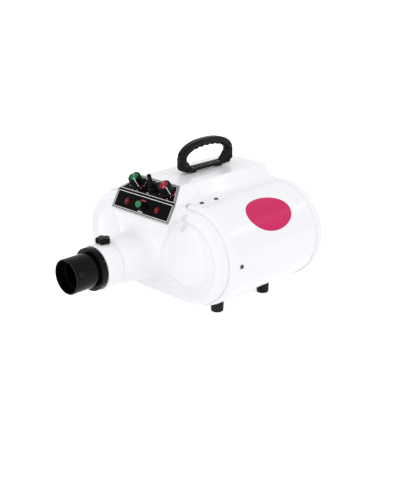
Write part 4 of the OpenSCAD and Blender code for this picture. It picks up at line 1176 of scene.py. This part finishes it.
def make_handle_base():
    """Bar on two bosses, cross-ribbed on top, with an ear at each end that carries the grip."""
    half, top = SPAN / 2, SPLIT_Z - 0.1
    leg = HY - grip_point(pi - LOW_ANGLE)[0]
    ribs = []
    reach, count, bar_half, bar_top = half - 21, 26, half - 5, BAR_Z + BAR_T
    pitch = 2 * reach / count
    for i in range(count):
        for part, rise in ((0.15, 0), (0.3, 0.7), (0.7, 0.7), (0.85, 0)):
            ribs.append((HY - reach + pitch * i + part * pitch, bar_top + rise))
    y0, y1 = HY - bar_half, HY + bar_half
    outline = [(y1, BAR_Z), (y1, bar_top)] + ribs[::-1] + [(y0, bar_top), (y0, BAR_Z)]
    bar = across(outline, -BAR_W / 2 + 0.4, BAR_W / 2 - 0.4)
    rail = [(y0, BAR_Z + 0.6), (y0, bar_top + 0.3), (y1, bar_top + 0.3), (y1, BAR_Z + 0.6)]
    parts = [across(rail, a, b) for a, b in ((-BAR_W / 2, -BAR_W / 2 + 1.8), (BAR_W / 2 - 1.8, BAR_W / 2))]
    for s in (-1, 1):
        gusset = rounded([
            (half - 19, BAR_Z + 0.2, 0.5), (half - 3, BAR_Z + 0.2, 1.5), (half - 1.5, BAR_Z + 4.5, 1.5),
            (half + 2, BAR_Z + 6, 1.5), (half + 2, top - 6, 0), (half - 5.5, top - 5.5, 0.5),
            (half - 9, top - 9, 2.5), (half - 14, BAR_Z + 10.5, 4), (half - 20.5, BAR_Z + BAR_T, 3),
        ], 6)
        parts.append(across([(HY + s * y, z) for y, z in gusset], -7.6, 7.6))
        levels = [(BAR_Z + up, inset) for up, inset in EAR_FOOT] + [(top - 0.9, 0.0), (top, 0.7)]
        parts.append(loft([
            [(x, HY + s * (leg + n), z) for x, n in grip_section(GRIP_IN, drawn_in)] for z, drawn_in in levels
        ]))
        parts.append(peg(7, FLAT_Z, BAR_Z + 1, shift(0, HY + s * BOSS_Y, 0)))
    cuts = []
    for s in (-1, 1):
        cuts.append(peg(5, BAR_Z + 1.5, BAR_Z + 14, shift(0, HY + s * BOSS_Y, 0)))
        cuts.append(peg(2.7, FLAT_Z - 1, BAR_Z + 14, shift(0, HY + s * BOSS_Y, 0)))
    base = build("grip_base", bar, BLACK_GRIP, 32, replaces=("handle_base",), adds=parts, cuts=cuts)
    soften(base, 0.9, 3, 40)


# ---- feet, screws and label ----


def make_feet():
    inside = obround_solid([(R + 0.1, Y_SEAM - 5), (R + 0.1, Y_REAR + 5)])
    profile = rounded([
        (5.5, 0, 0.5), (9.0, 0, 0), (10.4, 0.5, 0.8), (11, 2, 1), (11.8, 27, 0), (2.6, 27, 0), (2.6, 4, 0),
        (5.5, 4, 0),
    ], 4)
    for s, side in SIDES:
        for end, y in FEET_Y.items():
            points, faces = lathe(profile, 72)
            solid = moved(points, shift(s * FOOT_X, y, 0)), faces
            foot = f"foot_{end}_{side}"
            build(f"{foot}_rubber", solid, RUBBER, 40, replaces=(foot,), cuts=[inside])


def cross_screw(name, place, replaces=()):
    """A pan head with a cross recess, standing on its frame's Z = 0."""
    head = [(0, 0), (3.8, 0), (3.8, 0.7), (3.5, 1.4), (2.8, 2.0), (1.6, 2.3), (0, 2.35)]
    cuts = [prism(rectangle(-1.9, -0.35, 1.9, 0.35), 1.1, 4, rotation(turn, "Z")) for turn in (20, 110)]
    shank = peg(1.95, -10, 0.5)
    build(name, lathe(head, 40), DARK_STEEL, 35, place=place, replaces=replaces, cuts=cuts, adds=[shank])


def make_screws():
    top = TOP_Z + 1.8
    for s, side in SIDES:
        stands_for = ("cover_screws",) if s < 0 else ()
        cross_screw(f"screw_tower_{side}", shift(s * 84.5, Y_SEAM + 22, top), stands_for)
        cross_screw(f"screw_hump_{side}", shift(s * 85.5, Y_SEAM + 56, top))
        flank = shift(s * (CX + R + 0.1), Y_SEAM + 23, ZC)
        cross_screw(f"screw_side_{side}", flank @ rotation(s * 90, "Y"))


LABEL_Y, LABEL_ANGLE = 105.8, 47.5
LABEL_A, LABEL_B, LABEL_TILT = 52.0, 34.0, radians(-3)


def make_label():
    """A plain oval sticker wrapped on the sleeve's shoulder: out along its back, and in along its face."""
    rings, spokes = 18, 96
    lean_x, lean_y = cos(LABEL_TILT), sin(LABEL_TILT)
    stations = [(i, 0.02) for i in range(rings + 1)] + [(rings, 0.12)]
    stations += [(i, 0.22) for i in range(rings - 1, -1, -1)]
    points = []
    for i, lift in stations:
        for k in range(spokes):
            turn = 2 * pi * k / spokes
            a, b = LABEL_A * i / rings * cos(turn), LABEL_B * i / rings * sin(turn)
            angle = radians(LABEL_ANGLE) + (a * lean_y + b * lean_x) / R
            along = LABEL_Y + a * lean_x - b * lean_y
            points.append((CX + (R + lift) * cos(angle), along, ZC + (R + lift) * sin(angle)))
    build("oval_label", (points, grid_faces(len(stations), spokes)), LABEL, 40)


# ---- materials of the nodes that stay ----


def dress_kept_nodes():
    """A node that stays takes the first finish made for its slot, but matte black ones the satin finish."""
    finishes = {slot: bpy.data.materials[name] for name, slot in reversed(SLOT_OF.items())}
    finishes["black_matte"] = BLACK_SATIN
    for part in frame["record"]["subparts"]:
        node = NODES[part["node"]]
        node.data.materials.clear()
        node.data.materials.append(finishes[part["material_slot"]])


# ---- floor, backdrop and light ----


WORLD_LIGHT = 0.90
FLOOR_GLOW = 0.70
FLOOR_HALF, FLOOR_Z = 15, -0.0005


def background_rays(tree):
    """One for the rays that see the background: from the camera, through glass and off gloss."""
    rays = new_node(tree, "LightPath")
    seen = None
    for kind in ("Is Camera Ray", "Is Transmission Ray", "Is Glossy Ray"):
        step = new_node(tree, "Math", {1: 0.0}, operation="MAXIMUM")
        link(tree, rays, kind, step, 0)
        if seen:
            link(tree, seen, 0, step, 1)
        seen = step
    return seen


def make_world():
    world = bpy.data.worlds.new("studio")
    bpy.context.scene.world = world
    world.use_nodes = True
    tree = world.node_tree
    tree.nodes.clear()
    strength = new_node(tree, "Math", {1: 1 - WORLD_LIGHT, 2: WORLD_LIGHT}, operation="MULTIPLY_ADD")
    link(tree, background_rays(tree), 0, strength, 0)
    background = new_node(tree, "Background", {"Color": (1, 1, 1, 1)})
    link(tree, strength, 0, background, "Strength")
    link(tree, background, "Background", new_node(tree, "OutputWorld"), "Surface")


def make_floor():
    """A broad floor, white wherever no shadow falls."""
    material, tree, shader = node_tree("floor")
    set_values(shader, {"Base Color": (0.96, 0.96, 0.96, 1), "Roughness": 0.9, "Specular IOR Level": 0.1})
    glow = new_node(tree, "Emission", {"Color": (1, 1, 1, 1), "Strength": FLOOR_GLOW})
    dark = new_node(tree, "Emission", {"Strength": 0})
    pick = new_node(tree, "MixShader")
    add = new_node(tree, "AddShader")
    link(tree, background_rays(tree), 0, pick, "Fac")
    link(tree, dark, 0, pick, 1)
    link(tree, glow, 0, pick, 2)
    link(tree, shader, 0, add, 0)
    link(tree, pick, 0, add, 1)
    link(tree, add, 0, tree.nodes["Material Output"], "Surface")
    mesh = bpy.data.meshes.new("floor")
    corners = ((-1, -1), (1, -1), (1, 1), (-1, 1))
    mesh.from_pydata([(FLOOR_HALF * x, FLOOR_HALF * y, FLOOR_Z) for x, y in corners], [], [(0, 1, 2, 3)])
    mesh.materials.append(material)
    floor = add_object("floor", mesh)


def area_light(name, at, toward, size, power, tall):
    data = bpy.data.lights.new(name, "AREA")
    data.shape = "RECTANGLE"
    data.size = size
    data.size_y = tall
    data.energy = power
    lamp = add_object(name, data)
    lamp.location = at
    lamp.rotation_euler = (Vector(at) - Vector(toward)).to_track_quat("Z", "Y").to_euler()


make_front_cover()
make_sleeve()
make_hump()
make_rear_cover()
make_outlet()
make_star()
make_panel()
make_prints()
make_knob("air")
make_knob("heat")
make_toggle()
make_button_and_lamps()
make_grip()
make_handle_base()
make_feet()
make_screws()
make_label()
dress_kept_nodes()
make_floor()
make_world()
area_light("overhead", (0.3, -0.9, 1.7), (0, -0.05, 0.15), 1.6, 2, 0.3)
area_light("front", (0.7, -2.0, 0.5), (0, -0.1, 0.15), 0.05, 5, 1.6)
area_light("rear", (1.2, 1.5, 1.35), (0, -0.2, 0.1), 1.2, 1.5, 0.05)
area_light("side", (2.2, 0.9, 0.5), (0, 0, 0.12), 0.07, 1.2, 1.4)
bpy.context.scene.view_settings.view_transform = "Standard"
